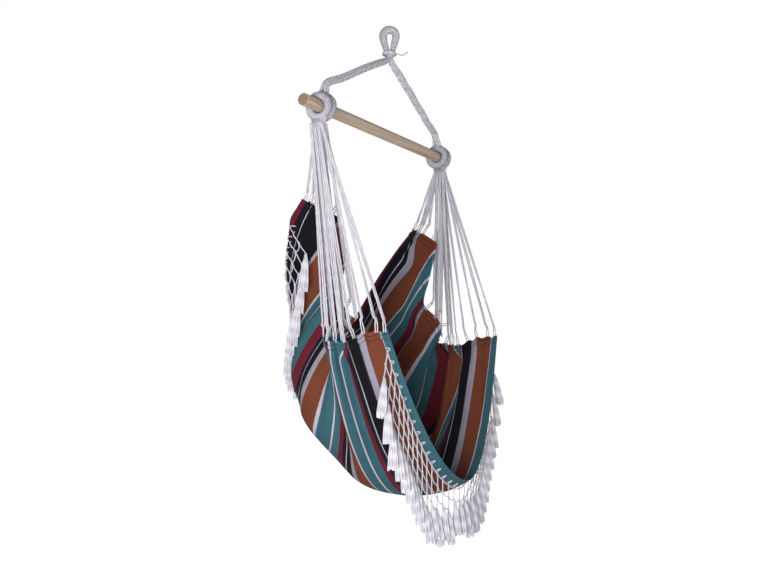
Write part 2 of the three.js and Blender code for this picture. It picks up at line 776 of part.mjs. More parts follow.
// Blocks of a net: block columns alternate between strands and gaps, and so do block rows.
function netBlocks(rows) {
  const depthAt = (k) => Math.max(rows[k - 1] ?? 0, rows[k] ?? 0);
  const filled = (column, row) => {
    if (column < 0 || column > 2 * rows.length || row < 0) return false;
    const k = Math.floor(column / 2);
    if (column % 2 === 0) return row <= 2 * depthAt(k);
    return row % 2 === 0 && row <= 2 * rows[k];
  };
  return { depthAt, filled };
}

// Closed mesh of the filled blocks. hang(edge column, edge row, layer) gives a corner's place.
function blockMesh(columnCount, rowCount, filled, hang) {
  const positions = [];
  const known = new Map();
  const corner = (column, row, layer) => {
    const key = [column, row, layer].join();
    if (!known.has(key)) {
      known.set(key, positions.length / 3);
      const point = hang(column, row, layer);
      positions.push(point.x, point.y, point.z);
    }
    return known.get(key);
  };
  const index = [];
  const quad = (a, b, c, d) => index.push(a, b, c, a, c, d);
  for (let i = 0; i < columnCount; i++) {
    for (let j = 0; j < rowCount; j++) {
      if (!filled(i, j)) continue;
      const round = [[i, j], [i + 1, j], [i + 1, j + 1], [i, j + 1]];
      const [far, near] = [0, 1].map((layer) => round.map(([x, y]) => corner(x, y, layer)));
      quad(...near);
      quad(...far.slice().reverse());
      [[i, j - 1], [i + 1, j], [i, j + 1], [i - 1, j]].forEach(([x, y], side) => {
        if (filled(x, y)) return;
        const next = (side + 1) % round.length;
        quad(near[next], near[side], far[side], far[next]);
      });
    }
  }
  const geometry = new THREE.BufferGeometry();
  geometry.setAttribute("position", new THREE.Float32BufferAttribute(positions, 3));
  geometry.setIndex(index);
  return facingOut(geometry);
}

function fringeGeometry(clothShare, outward, cornerLean) {
  const edge = seamCurve(clothShare);
  const rows = [...netRowCounts, ...netRowCounts.slice().reverse()];
  const cell = edge.total / rows.length;
  const half = netStrand / 2;
  const deepest = Math.max(...rows) * netRowHeight + tasselLength;
  const hang = (way, depth, out) => {
    const point = edge.at(way);
    const fromCorner = Math.min(way, edge.total - way) / (fringeLeanColumns * cell);
    const lean = cornerLean * Math.max(0, 1 - fromCorner) ** 2;
    point.x += (Math.sign(point.x) * lean * depth) / deepest;
    point.y += outward * out;
    point.z -= netDrop + depth;
    return point;
  };
  // The two edges of strand number n of a row of strands that stand a pitch apart
  const strandEdge = (number, pitch) => Math.floor(number / 2) * pitch + (number % 2 ? half : -half);
  const { depthAt, filled } = netBlocks(rows);
  const rowCount = 2 * Math.max(...rows) + 1;
  const net = blockMesh(2 * rows.length + 1, rowCount, filled, (column, row, layer) =>
    hang(strandEdge(column, cell), strandEdge(row, netRowHeight), layer * netStrand),
  );
  const tassels = rows.concat(0).map((_, k) => {
    const knotDepth = depthAt(k) * netRowHeight;
    return tasselGeometry((dropShare, out) => hang(k * cell, knotDepth + dropShare * tasselLength, out));
  });
  return joined(net, ...tassels);
}

// Tassel: threads tied at a neck, hanging in a slowly widening bunch. middleAt(share of the way down,
// how far out) gives a point of its middle line, and its back stays just off the back of the net.
function tasselGeometry(middleAt) {
  const profile = [
    [tasselNeckDiameter / 2, 0],
    [tasselBodyDiameter / 2, tasselBodyShare],
    [tasselEndDiameter / 2, 1],
  ];
  const rings = profile.map(([radius, dropShare]) => {
    const middle = middleAt(dropShare, radius + touchGap);
    return Array.from({ length: tasselSides }, (_, j) => {
      const angle = (2 * Math.PI * j) / tasselSides;
      const offset = new THREE.Vector3(radius * Math.cos(angle), radius * Math.sin(angle), 0);
      return offset.add(middle);
    });
  });
  return loft(rings);
}

addPiece("front_fringe", fringeGeometry(netSeamShare, -1, frontFringeLean), cottonWhite);
addPiece("back_fringe", fringeGeometry(1 - netSeamShare, 1, backFringeLean), cottonWhite);

export default chair;
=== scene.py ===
# %% [markdown]
# # A hammock chair
# The chair hangs from one rope eye. Two legs of cord go down to whipped rings on a wooden bar, two fans
# of doubled strings go down from there, and they carry one striped cotton cloth with a knotted net and
# tassels along its front and back edges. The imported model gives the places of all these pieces, and this
# script makes the rope, cloth and wood that are seen.

# %% Load the fixed frame
import math
import random

import bmesh
import bpy
import numpy as np
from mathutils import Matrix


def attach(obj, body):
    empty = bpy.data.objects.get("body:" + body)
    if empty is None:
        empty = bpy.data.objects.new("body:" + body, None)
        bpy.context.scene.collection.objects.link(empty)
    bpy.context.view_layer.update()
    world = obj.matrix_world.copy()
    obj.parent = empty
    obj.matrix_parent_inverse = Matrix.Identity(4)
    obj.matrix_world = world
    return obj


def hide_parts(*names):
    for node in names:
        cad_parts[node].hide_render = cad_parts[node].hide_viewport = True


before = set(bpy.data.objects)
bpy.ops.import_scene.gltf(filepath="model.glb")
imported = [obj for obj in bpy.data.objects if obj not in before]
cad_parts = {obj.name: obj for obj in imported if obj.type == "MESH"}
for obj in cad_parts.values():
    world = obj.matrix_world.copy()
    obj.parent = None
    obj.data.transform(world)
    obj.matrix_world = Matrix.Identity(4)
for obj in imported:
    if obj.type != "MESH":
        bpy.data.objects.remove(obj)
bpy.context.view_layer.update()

MM = 0.001  # the chair's own sizes are written in millimetres
random.seed(7)

# %% [markdown]
# ## Camera
# The photograph was taken level with the seat, from the sitter's right and a little in front, with the
# horizon below the middle of the picture. A level camera keeps upright lines upright, so the picture is
# framed with a small vertical shift and not by tilting the camera.

# %% Camera
IMAGE_WIDTH = 768  # pixels, as are the next two
FOCAL_PIXELS = 1042
HORIZON_BELOW_MIDDLE = 72
SENSOR_WIDTH = 36  # mm
CAMERA_PLACE = (-3.033, -1.495, -1.059)
CAMERA_TILT, CAMERA_HEADING = math.radians(90), math.radians(-63.46)
camera_data = bpy.data.cameras.new("camera")
camera_data.sensor_width = SENSOR_WIDTH
camera_data.lens = FOCAL_PIXELS * camera_data.sensor_width / IMAGE_WIDTH
camera_data.shift_y = HORIZON_BELOW_MIDDLE / IMAGE_WIDTH
camera = bpy.data.objects.new("camera", camera_data)
camera.location = CAMERA_PLACE
camera.rotation_euler = (CAMERA_TILT, 0, CAMERA_HEADING)
bpy.context.scene.collection.objects.link(camera)
bpy.context.scene.camera = camera
print("lens", round(camera_data.lens, 1), "mm")

# %% [markdown]
# ## Small tools
# Most pieces are cords, so one function sweeps a round section along a line of points and lays out a map
# in metres on it. The map lets each material show its twist or its wraps at a real size.

# %% Meshes from tubes and sheets
MERGE_DISTANCE = 1e-6  # metres
CAP_SHARE = 0.4  # how far a tube's end bulges, as a share of its radius


def unit(vectors):
    return vectors / np.maximum(np.linalg.norm(vectors, axis=-1, keepdims=True), 1e-12)


class Bundle:
    """Gathers tubes and patches that belong to one piece, with a map for each corner of each face."""

    def __init__(self):
        self.points, self.faces, self.maps, self.count = [], [], [], 0

    def add(self, points, faces, maps):
        self.points.append(points)
        self.faces.append(faces + self.count)
        self.maps.append(maps)
        self.count += len(points)

    def grid(self, points, rows, columns, map_at, around=False, closed=False):
        """Quads over rows x columns of points. map_at(row, column) gives the map's place."""
        i, j = np.meshgrid(
            np.arange(rows if closed else rows - 1),
            np.arange(columns if around else columns - 1),
            indexing="ij",
        )
        i, j = i.ravel(), j.ravel()
        ni, nj = (i + 1) % rows, (j + 1) % columns
        faces = np.stack([i * columns + j, i * columns + nj, ni * columns + nj, ni * columns + j], 1)
        maps = np.stack([map_at(i, j), map_at(i, j + 1), map_at(i + 1, j + 1), map_at(i + 1, j)], 1)
        self.add(points.reshape(-1, 3), faces, maps)

    def tube(self, line, radius, sides=8, closed=False, start=None, caps=True):
        """Round section along a line. radius is a number, a list along it, or f(share, angle, length)."""
        line = np.asarray(line, float)
        count = len(line)
        ahead, behind = np.roll(line, -1, 0), np.roll(line, 1, 0)
        if not closed:
            ahead[-1], behind[0] = line[-1], line[0]
        tangents = unit(ahead - behind)
        across = np.zeros_like(line)
        side = np.array([0.0, 1.0, 0.0]) if start is None else np.asarray(start, float)
        if abs(side @ tangents[0]) > 0.95:
            side = np.array([1.0, 0.0, 0.0])
        for k in range(count):
            side = side - (side @ tangents[k]) * tangents[k]
            side = side / np.linalg.norm(side)
            across[k] = side
        up = np.cross(tangents, across)
        steps = np.linalg.norm(np.diff(line, axis=0), axis=1)
        length = np.concatenate([[0], np.cumsum(steps)])
        share = length / max(length[-1], 1e-9)
        angle = np.arange(sides) * 2 * np.pi / sides
        if callable(radius):
            radii = radius(share[:, None], angle[None, :], length[:, None])
        else:
            radii = np.broadcast_to(np.reshape(radius, (-1, 1)), (count, sides))
        radii = radii * np.ones((count, sides))
        points = line[:, None] + radii[..., None] * (
            across[:, None] * np.cos(angle)[None, :, None] + up[:, None] * np.sin(angle)[None, :, None]
        )
        loop = length[-1] + np.linalg.norm(line[0] - line[-1])
        lengths = np.append(length, loop)
        self.grid(
            points, count, sides, lambda i, j: np.stack([j / sides, lengths[i]], 1), True, closed
        )
        if caps and not closed:
            for end, order in ((0, 1), (count - 1, -1)):
                centre = line[end] + tangents[end] * (radii[end].mean() * CAP_SHARE) * (-order)
                ring = np.arange(sides)
                first, second = (ring + 1, np.roll(ring, -1) + 1)[::order]
                faces = np.stack([np.zeros(sides, int), first, second, second], 1)
                where = np.stack([ring / sides, np.full(sides, lengths[end])], 1)
                self.add(
                    np.vstack([centre, points[end]]), faces, np.repeat(where[:, None], 4, 1)
                )

    def piece(self, name, material):
        """The finished piece: doubled corners are merged, so that every tube is one closed skin."""
        mesh = bpy.data.meshes.new(name)
        faces = np.vstack(self.faces)
        triangles = faces[:, 2] == faces[:, 3]
        corners = [tuple(f[:3]) if flat else tuple(f) for f, flat in zip(faces.tolist(), triangles)]
        mesh.from_pydata(np.vstack(self.points).tolist(), [], corners)
        keep = np.ones((len(faces), 4), bool)
        keep[triangles, 3] = False
        maps = np.vstack(self.maps)[keep]
        mesh.uv_layers.new(name="metres").data.foreach_set("uv", maps.ravel().astype(np.float32))
        mesh.polygons.foreach_set("use_smooth", np.full(len(faces), True))
        mesh.materials.append(material)
        made = bpy.data.objects.new(name, mesh)
        bpy.context.scene.collection.objects.link(made)
        return weld_corners(made)


def weld_corners(made):
    work = bmesh.new()
    work.from_mesh(made.data)
    bmesh.ops.remove_doubles(work, verts=work.verts, dist=MERGE_DISTANCE)
    bmesh.ops.recalc_face_normals(work, faces=work.faces)
    work.to_mesh(made.data)
    work.free()
    return made


def settle(piece, body, slot, *nodes):
    """Every piece rides on a body and stands for its CAD solids, which it hides. The slot is not used."""
    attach(piece, body)
    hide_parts(*nodes)
    size = [round(v / MM) for v in piece.dimensions]
    print(piece.name, "rides on", body, "| mm", size, "| faces", len(piece.data.polygons))
    return piece


# %% Lines through a few points
def smooth_line(points, count):
    """Even points on a soft curve through the given ones."""
    coefficients = stretches(np.asarray(points, float))
    last = len(points) - 1
    fine = stretch_points(coefficients, np.linspace(0, last, count * 4))
    length = np.concatenate([[0], np.cumsum(np.linalg.norm(np.diff(fine, axis=0), axis=1))])
    wanted = np.linspace(0, length[-1], count)
    return np.stack([np.interp(wanted, length, fine[:, k]) for k in range(3)], 1)


def stretches(points):
    """A centripetal Catmull-Rom curve through the points, as one cubic for each stretch."""
    padded = np.vstack([2 * points[0] - points[1], points, 2 * points[-1] - points[-2]])
    a, b, c, d = padded[:-3], padded[1:-2], padded[2:-1], padded[3:]
    gap = lambda p, q: np.sqrt(np.maximum(np.linalg.norm(q - p, axis=1, keepdims=True), 1e-9))
    before, within, after = gap(a, b), gap(b, c), gap(c, d)
    leave = ((b - a) / before - (c - a) / (before + within) + (c - b) / within) * within
    arrive = ((c - b) / within - (d - b) / (within + after) + (d - c) / after) * within
    return b, leave, -3 * b + 3 * c - 2 * leave - arrive, 2 * b - 2 * c + leave + arrive


def stretch_points(coefficients, at):
    last = len(coefficients[0]) - 1
    index = np.clip(np.floor(at).astype(int), 0, last)
    within = (at - index)[..., None]
    b, leave, square, cube = (part[index] for part in coefficients)
    return b + leave * within + square * within**2 + cube * within**3


def smoothstep(x, low, high):
    t = np.clip((x - low) / (high - low), 0, 1)
    return t * t * (3 - 2 * t)


# %% [markdown]
# ## Materials
# Everything here is plant fibre: cotton cord, woven cotton and turned wood. None of it is glossy. What the
# eye reads is the lay of the threads, small changes of shade and soft shadows between them, so each
# material gets a bump at its thread's real size and a slow change of colour. Every colour is written as
# sRGB hex and turned to linear by one function.


# %% Colours and the node helper
def linear(hex_code):
    channels = [int(hex_code[i : i + 2], 16) / 255 for i in (1, 3, 5)]
    return (*[c / 12.92 if c <= 0.04045 else ((c + 0.055) / 1.055) ** 2.4 for c in channels], 1.0)


def node(tree, kind, inputs=None, **settings):
    """Adds a node. A socket given as an input is linked, and anything else is set on its own socket."""
    made = tree.nodes.new(kind)
    for name, value in settings.items():
        setattr(made, name, value)
    for name, value in (inputs or {}).items():
        if isinstance(value, bpy.types.NodeSocket):
            tree.links.new(value, made.inputs[name])
        else:
            made.inputs[name].default_value = value
    return made


def fill_ramp(ramp, stops, interpolation="LINEAR"):
    ramp.interpolation = interpolation
    while len(ramp.elements) < len(stops):
        ramp.elements.new(0.5)
    for element, (position, hex_code) in zip(ramp.elements, stops):
        element.position = position
    for element, (position, hex_code) in zip(ramp.elements, stops):
        element.color = linear(hex_code)


def start_material(name, roughness, sheen, ior=1.5):
    """A matt dielectric. Its constant finish values stand on the shader's own sockets."""
    material = bpy.data.materials.new(name)
    material.use_nodes = True
    tree = material.node_tree
    tree.nodes.clear()
    shader = node(
        tree,
        "ShaderNodeBsdfPrincipled",
        {"Roughness": roughness, "Sheen Weight": sheen, "Sheen Roughness": 0.5, "IOR": ior},
    )
    node(tree, "ShaderNodeOutputMaterial", {"Surface": shader.outputs["BSDF"]})
    return material, tree, shader


# %% [markdown]
# ** Cotton cord.** The cords are twisted from a few yarns of bleached cotton. A slanting wave on the tube's
# own map makes the yarns: it goes a whole number of times round the cord, so it meets itself. The grooves
# are painted a shade darker, for dust and as painted shade, and a fine noise stands for the fuzz of the
# cotton.


# %% Cotton cord
SLANTING_PERIOD = 0.6283  # of Blender's diagonal wave, for a scale of 1
PATCH_SCALE = 14.0  # the shade drifts every 7 cm
FUZZ_SHARE = 0.2  # height of the fuzz, where the yarns have 1


def cotton_cord(name, yarns, lay_mm, bump_mm, pale, deep, fuzz_mm=1.6):
    material, tree, shader = start_material(name, roughness=0.92, sheen=0.1)
    places = node(tree, "ShaderNodeUVMap", uv_map="metres")
    turned = node(
        tree,
        "ShaderNodeMapping",
        {
            "Vector": places.outputs["UV"],
            "Scale": (yarns * SLANTING_PERIOD, SLANTING_PERIOD / (lay_mm * MM), 1),
        },
    )
    yarn = node(
        tree,
        "ShaderNodeTexWave",
        {"Vector": turned.outputs["Vector"], "Scale": 1.0},
        wave_type="BANDS",
        bands_direction="DIAGONAL",
    )
    space = node(tree, "ShaderNodeTexCoord")
    slow = node(
        tree,
        "ShaderNodeTexNoise",
        {"Vector": space.outputs["Object"], "Scale": PATCH_SCALE, "Detail": 3.0},
    )
    fuzz = node(
        tree,
        "ShaderNodeTexNoise",
        {"Vector": space.outputs["Object"], "Scale": 1 / (fuzz_mm * MM), "Detail": 2.0},
    )
    shade = node(
        tree,
        "ShaderNodeMath",
        {0: yarn.outputs["Factor" if "Factor" in yarn.outputs else "Fac"], 1: slow.outputs[0]},
        operation="MULTIPLY",
    )
    # The grooves take the deep colour: dust, and painted shade in the grooves
    colour = node(tree, "ShaderNodeValToRGB", {"Fac": shade.outputs[0]})
    fill_ramp(colour.color_ramp, [(0.0, deep), (0.45, pale)])
    tree.links.new(colour.outputs["Color"], shader.inputs["Base Color"])
    height = node(
        tree,
        "ShaderNodeMath",
        {0: fuzz.outputs[0], 1: FUZZ_SHARE, 2: yarn.outputs[1]},
        operation="MULTIPLY_ADD",
    )
    bump = node(
        tree,
        "ShaderNodeBump",
        {"Height": height.outputs[0], "Distance": bump_mm * MM, "Strength": 0.8},
    )
    tree.links.new(bump.outputs["Normal"], shader.inputs["Normal"])
    return material


# Each line gives the number of yarns and the way along the cord from one groove to the next, in mm. The
# real grooves are too fine to show from here. The net's are drawn 6 mm apart, which reads as a hard twist,
# the strings' and the tassels' 40 mm apart, as a slack one, and the whipping's thread is almost plain.
seat_cord = cotton_cord("twisted_cotton_cord", 2, 40, 0.14, "#d2cfd7", "#bcb9c3")
net_cord = cotton_cord("knotted_cotton_net_cord", 2, 6, 0.3, "#d6d3da", "#b1aeb8")
tassel_yarn = cotton_cord("loose_cotton_yarn", 1, 40, 0.2, "#e6e4eb", "#c6c3cd")
# The thread is real, and its dark colour is partly painted shade, so that the rows of stitches read as the
# shaded lines along the seams
sewing_thread = cotton_cord("sewing_thread_with_painted_seam_shade", 2, 3, 0.2, "#4a3a3c", "#2a2226")
whipping = cotton_cord("whipped_cotton_cord", 1, 900, 0.15, "#b9b7bf", "#918f99", fuzz_mm=1.2)
print("cotton cords:", *[m.name for m in (seat_cord, net_cord, tassel_yarn, whipping, sewing_thread)])

# %% [markdown]
# ** Striped cotton.** The cloth is one plain weave with the stripes in its warp, so every stripe has a
# crisp edge along its length. The map gives the distance across the stripes, and a ramp with hard steps
# turns it into colour, once for each repeat of the pattern. Thin streaks along the warp vary the dye, two
# lines of painted shade follow the seams of each tunnel hem, and two crossed waves raise the threads.

# %% Striped cotton cloth
WIDTH_MM = 1010
CLOTH_WIDTH = WIDTH_MM * MM
CLOTH_HALF_LENGTH = 0.65
EDGE_STRIPES = [("#385f6b", 43.0), ("#b9b5c1", 6.0)]  # from the front edge, widths in mm
REPEAT_STRIPES = [
    ("#6f3b29", 55.0),
    ("#93909e", 28.0),
    ("#0b080f", 40.0),
    ("#b9b5c1", 6.0),
    ("#140e20", 25.0),
    ("#601c2a", 30.0),
    ("#385f6b", 32.0),
    ("#b9b5c1", 6.0),
    ("#385f6b", 30.0),
    ("#b9b5c1", 6.0),
]
EDGE_WAVER = 1.2 * MM  # how far a stripe's edge strays
STREAK_LENGTH, STREAK_WIDTH = 60 * MM, 4 * MM
# Lines of painted shade along the seams of each tunnel hem
SEAM_SHADE_LINES, SEAM_SHADE_BAND = (12.4, 27.3), 40  # mm from the hem's edge, and the band that the ramp covers
SEAM_SHADE_WIDTH = 0.05  # to each side, as a share of the band
THREAD_SPACING = 3 * MM  # threads of about 1 mm, drawn 3 mm apart so that the weave shows
STRAIGHT_PERIOD = 0.3142  # of Blender's straight wave and rings, for a scale of 1


def stripe_stops(stripes):
    total = sum(width for _, width in stripes)
    at, stops = 0.0, []
    for colour, width in stripes:
        stops.append((at / total, colour))
        at += width
    return stops, total * MM


def striped_cotton():
    material, tree, shader = start_material("striped_woven_cotton", roughness=0.9, sheen=0.02, ior=1.25)
    places = node(tree, "ShaderNodeUVMap", uv_map="metres")
    split = node(tree, "ShaderNodeSeparateXYZ", {"Vector": places.outputs["UV"]})
    waver = node(
        tree, "ShaderNodeTexNoise", {"Vector": places.outputs["UV"], "Scale": 160.0, "Detail": 1.0}
    )
    across = node(
        tree,
        "ShaderNodeMath",
        {0: waver.outputs[0], 1: EDGE_WAVER, 2: split.outputs["Y"]},
        operation="MULTIPLY_ADD",
    )
    repeat_stops, repeat_width = stripe_stops(REPEAT_STRIPES)
    edge_stops, edge_width = stripe_stops(EDGE_STRIPES)
    started = node(
        tree, "ShaderNodeMath", {0: across.outputs[0], 1: edge_width}, operation="SUBTRACT"
    )
    repeats = node(
        tree, "ShaderNodeMath", {0: started.outputs[0], 1: repeat_width}, operation="DIVIDE"
    )
    within = node(tree, "ShaderNodeMath", {0: repeats.outputs[0]}, operation="FRACT")
    repeat = node(tree, "ShaderNodeValToRGB", {"Fac": within.outputs[0]})
    fill_ramp(repeat.color_ramp, repeat_stops, "CONSTANT")
    edge_share = node(
        tree, "ShaderNodeMath", {0: across.outputs[0], 1: edge_width}, operation="DIVIDE"
    )
    edge = node(tree, "ShaderNodeValToRGB", {"Fac": edge_share.outputs[0]})
    fill_ramp(edge.color_ramp, edge_stops, "CONSTANT")
    in_edge = node(
        tree, "ShaderNodeMath", {0: across.outputs[0], 1: edge_width}, operation="LESS_THAN"
    )
    stripes = node(
        tree,
        "ShaderNodeMix",
        {0: in_edge.outputs[0], 6: repeat.outputs["Color"], 7: edge.outputs["Color"]},
        data_type="RGBA",
    )
    # Streaks of uneven dye follow the warp
    stretched = node(
        tree,
        "ShaderNodeMapping",
        {"Vector": places.outputs["UV"], "Scale": (1 / STREAK_LENGTH, 1 / STREAK_WIDTH, 1)},
    )
    streaks = node(
        tree,
        "ShaderNodeTexNoise",
        {"Vector": stretched.outputs["Vector"], "Scale": 1.0, "Detail": 3.0, "Roughness": 0.6},
    )
    worn = node(
        tree, "ShaderNodeTexNoise", {"Vector": places.outputs["UV"], "Scale": 9.0, "Detail": 3.0}
    )
    dye = node(
        tree, "ShaderNodeMath", {0: streaks.outputs[0], 1: worn.outputs[0]}, operation="ADD"
    )
    dye_range = node(
        tree,
        "ShaderNodeMapRange",
        {"Value": dye.outputs[0], "From Min": 0.7, "From Max": 1.3, "To Min": 0.84, "To Max": 1.16},
    )
    coloured = node(
        tree,
        "ShaderNodeMix",
        {0: 1.0, 6: stripes.outputs[2], 7: dye_range.outputs[0]},
        data_type="RGBA",
        blend_type="MULTIPLY",
    )
    # Two lines of painted shade run along each tunnel hem, along the rows of stitches
    half_way = node(tree, "ShaderNodeMath", {0: split.outputs["X"]}, operation="ABSOLUTE")
    band_end = CLOTH_HALF_LENGTH - SEAM_SHADE_BAND * MM
    from_hem = node(
        tree,
        "ShaderNodeMapRange",
        {"Value": half_way.outputs[0], "From Min": CLOTH_HALF_LENGTH, "From Max": band_end},
    )
    painted_seam_shade = node(tree, "ShaderNodeValToRGB", {"Fac": from_hem.outputs[0]})
    line_stops = []
    for inset in SEAM_SHADE_LINES:
        at = inset / SEAM_SHADE_BAND
        before, after = at - SEAM_SHADE_WIDTH, at + SEAM_SHADE_WIDTH
        line_stops += [(before, "#ffffff"), (at, "#8a7f84"), (after, "#ffffff")]
    fill_ramp(painted_seam_shade.color_ramp, [(0.0, "#ffffff"), *line_stops])
    seam_shaded = node(
        tree,
        "ShaderNodeMix",
        {0: 1.0, 6: coloured.outputs[2], 7: painted_seam_shade.outputs["Color"]},
        data_type="RGBA",
        blend_type="MULTIPLY",
    )
    tree.links.new(seam_shaded.outputs[2], shader.inputs["Base Color"])
    thread_scale = STRAIGHT_PERIOD / THREAD_SPACING
    spaced = node(
        tree,
        "ShaderNodeMapping",
        {"Vector": places.outputs["UV"], "Scale": (thread_scale, thread_scale, 1)},
    )
    warp, weft = (
        node(
            tree,
            "ShaderNodeTexWave",
            {"Vector": spaced.outputs["Vector"], "Scale": 1.0},
            bands_direction=way,
        )
        for way in ("X", "Y")
    )
    weave = node(
        tree, "ShaderNodeMath", {0: warp.outputs[1], 1: weft.outputs[1]}, operation="MULTIPLY"
    )
    height = node(
        tree,
        "ShaderNodeMath",
        {0: streaks.outputs[0], 1: 0.8, 2: weave.outputs[0]},
        operation="MULTIPLY_ADD",
    )
    bump = node(
        tree,
        "ShaderNodeBump",
        {"Height": height.outputs[0], "Distance": 0.5 * MM, "Strength": 0.7},
    )
    tree.links.new(bump.outputs["Normal"], shader.inputs["Normal"])
    return material


cloth_finish = striped_cotton()
print("repeat of the stripes:", round(stripe_stops(REPEAT_STRIPES)[1], 3), "m")

# %% [markdown]
# **Turned wood.** The bar is a pale softwood dowel with no varnish. Its grain runs along the bar, so the
# noise is stretched along X. The sawn ends show the year rings as arcs round a middle that lies just
# outside the bar, and are a little darker, because open end grain drinks dirt and light.


# %% Wood
YEAR_RING = 3.5 * MM
PITH_BELOW_HOOK = 334 * MM + 20 * MM  # the year rings' middle, 20 mm off the bar's own axis
PITH_IN_FRONT = 6 * MM


def dowel_wood():
    material, tree, shader = start_material("turned_softwood_dowel", roughness=0.62, sheen=0.0)
    space = node(tree, "ShaderNodeTexCoord")
    along = node(
        tree,
        "ShaderNodeMapping",
        {"Vector": space.outputs["Object"], "Scale": (3, 110, 110)},
    )
    grain = node(
        tree,
        "ShaderNodeTexNoise",
        {"Vector": along.outputs["Vector"], "Scale": 1.0, "Detail": 5.0, "Distortion": 0.4},
    )
    colour = node(tree, "ShaderNodeValToRGB", {"Fac": grain.outputs[0]})
    fill_ramp(
        colour.color_ramp, [(0.3, "#94806a"), (0.47, "#b5a08a"), (0.6, "#c8b59f"), (0.75, "#a8937d")]
    )
    centred = node(
        tree,
        "ShaderNodeMapping",
        {
            "Vector": space.outputs["Object"],
            "Location": (0, PITH_IN_FRONT, PITH_BELOW_HOOK),
            "Scale": (0, 1, 1),
        },
    )
    rings = node(
        tree,
        "ShaderNodeTexWave",
        {"Vector": centred.outputs["Vector"], "Scale": STRAIGHT_PERIOD / YEAR_RING, "Distortion": 1.5},
        wave_type="RINGS",
        rings_direction="X",
    )
    end_colour = node(tree, "ShaderNodeValToRGB", {"Fac": rings.outputs[1]})
    fill_ramp(end_colour.color_ramp, [(0.1, "#745d49"), (0.8, "#9a8068")])
    facing = node(tree, "ShaderNodeNewGeometry")
    parts = node(tree, "ShaderNodeSeparateXYZ", {"Vector": facing.outputs["Normal"]})
    flat = node(tree, "ShaderNodeMath", {0: parts.outputs["X"]}, operation="ABSOLUTE")
    on_end = node(
        tree,
        "ShaderNodeMapRange",
        {"Value": flat.outputs[0], "From Min": 0.75, "From Max": 0.95},
    )
    wood = node(
        tree,
        "ShaderNodeMix",
        {0: on_end.outputs[0], 6: colour.outputs["Color"], 7: end_colour.outputs["Color"]},
        data_type="RGBA",
    )
    tree.links.new(wood.outputs[2], shader.inputs["Base Color"])
    pores = node(
        tree,
        "ShaderNodeMapping",
        {"Vector": space.outputs["Object"], "Scale": (40, 900, 900)},
    )
    pore = node(
        tree,
        "ShaderNodeTexNoise",
        {"Vector": pores.outputs["Vector"], "Scale": 1.0, "Detail": 2.0},
    )
    bump = node(
        tree,
        "ShaderNodeBump",
        {"Height": pore.outputs[0], "Distance": 0.4 * MM, "Strength": 0.5},
    )
    tree.links.new(bump.outputs["Normal"], shader.inputs["Normal"])
    return material


wood = dowel_wood()
print("wood:", wood.name)

# %% [markdown]
# ## Rope eye and its binding
# The eye is a thick bundle of cord closely wound with fine cord. The wraps are real ridges in the mesh.
# They are 3 mm apart on the eye and 5 mm on the rings, where the cord is about 2 mm thick, so that they
# still show from across a room. The binding holds the eye's two sides together, and its free tail stands
# out to the far side.

# %% The loose tail of the binding
NECK_LEVEL = -66 * MM
BINDING_RADIUS = 22.98 * MM
TOUCH = 0.4 * MM  # clearance between pieces that touch
EYE_HEADING = math.radians(-60)
TAIL_RADIUS = 2 * MM
TAIL_REACH, TAIL_SAG, TAIL_LIFT = 36 * MM, 4 * MM, 7 * MM
tail_shares = np.linspace(0, 1, 9)
tail_out = (BINDING_RADIUS + TOUCH) + TAIL_REACH * tail_shares
tail_level = NECK_LEVEL - TAIL_SAG * np.sin(tail_shares * np.pi) ** 2 + TAIL_LIFT * tail_shares**3
tail_points = np.stack(
    [tail_out * math.cos(EYE_HEADING), tail_out * math.sin(EYE_HEADING), tail_level], 1
)
tail_line = smooth_line(tail_points, 25)
tail_bundle = Bundle()
tail_bundle.tube(
    tail_line,
    lambda share, angle, length: TAIL_RADIUS
    * (1 + 0.07 * np.cos(3 * angle + length * 900) + 0.15 * share**8),
    sides=12,
)
tail = tail_bundle.piece("binding_tail_cord", seat_cord)
settle(tail, "neck", "whipped_rope", "binding_tail")

# %% Hanging eye
EYE_ROPE, NECK_STRAND = 25 * MM, 18 * MM
EYE_HOLE_WIDTH, EYE_HOLE_HEIGHT = 17 * MM, 44 * MM
EYE_ARC = 99  # degrees of the round top, to each side
WAIST_SHARE = 0.66  # where the sides begin to close, down the hole and in towards the middle
THROAT_HALF = 7 * MM
CORE_RADIUS, CORE_END_RADIUS = 19 * MM, 17.5 * MM
WRAP_PITCH, WRAP_RIDGE = 3 * MM, 0.9 * MM
RIDGE_MIDDLE = 0.6  # near the mean height of a row of ridges, so that wraps don't thicken the rope
crown_radius = (EYE_HOLE_WIDTH + EYE_ROPE) / 2
crown_level = -EYE_HOLE_WIDTH / 2
throat_top = NECK_LEVEL + THROAT_HALF
throat_bottom = NECK_LEVEL - THROAT_HALF


def turned_to(points, heading):
    cosine, sine = math.cos(heading), math.sin(heading)
    points = np.asarray(points, float)
    x, y = points[..., 0], points[..., 1]
    return np.stack([x * cosine - y * sine, x * sine + y * cosine, points[..., 2]], -1)


def eye_side(side):
    arc = [
        (side * crown_radius * math.sin(a), 0, crown_level + crown_radius * math.cos(a))
        for a in np.radians(np.linspace(0, EYE_ARC, 8))
    ]
    strand = (NECK_STRAND + TOUCH) / 2
    waist = strand + (crown_radius - strand) * WAIST_SHARE
    return arc + [
        (side * waist, 0, -EYE_HOLE_HEIGHT * WAIST_SHARE),
        (side * strand, 0, throat_top),
        (side * strand * 0.98, 0, throat_bottom + 1 * MM),
    ]


def whipped(radius, pitch, depth):
    """Radius of a rope under close wraps of fine cord: round ridges with sharp valleys."""
    return lambda share, angle, length: radius(share) + depth * (
        np.abs(np.sin(np.pi * length / pitch)) - RIDGE_MIDDLE
    )


eye_points = eye_side(-1)[1:][::-1] + eye_side(1)
eye_line = turned_to(smooth_line(eye_points, 420), EYE_HEADING)


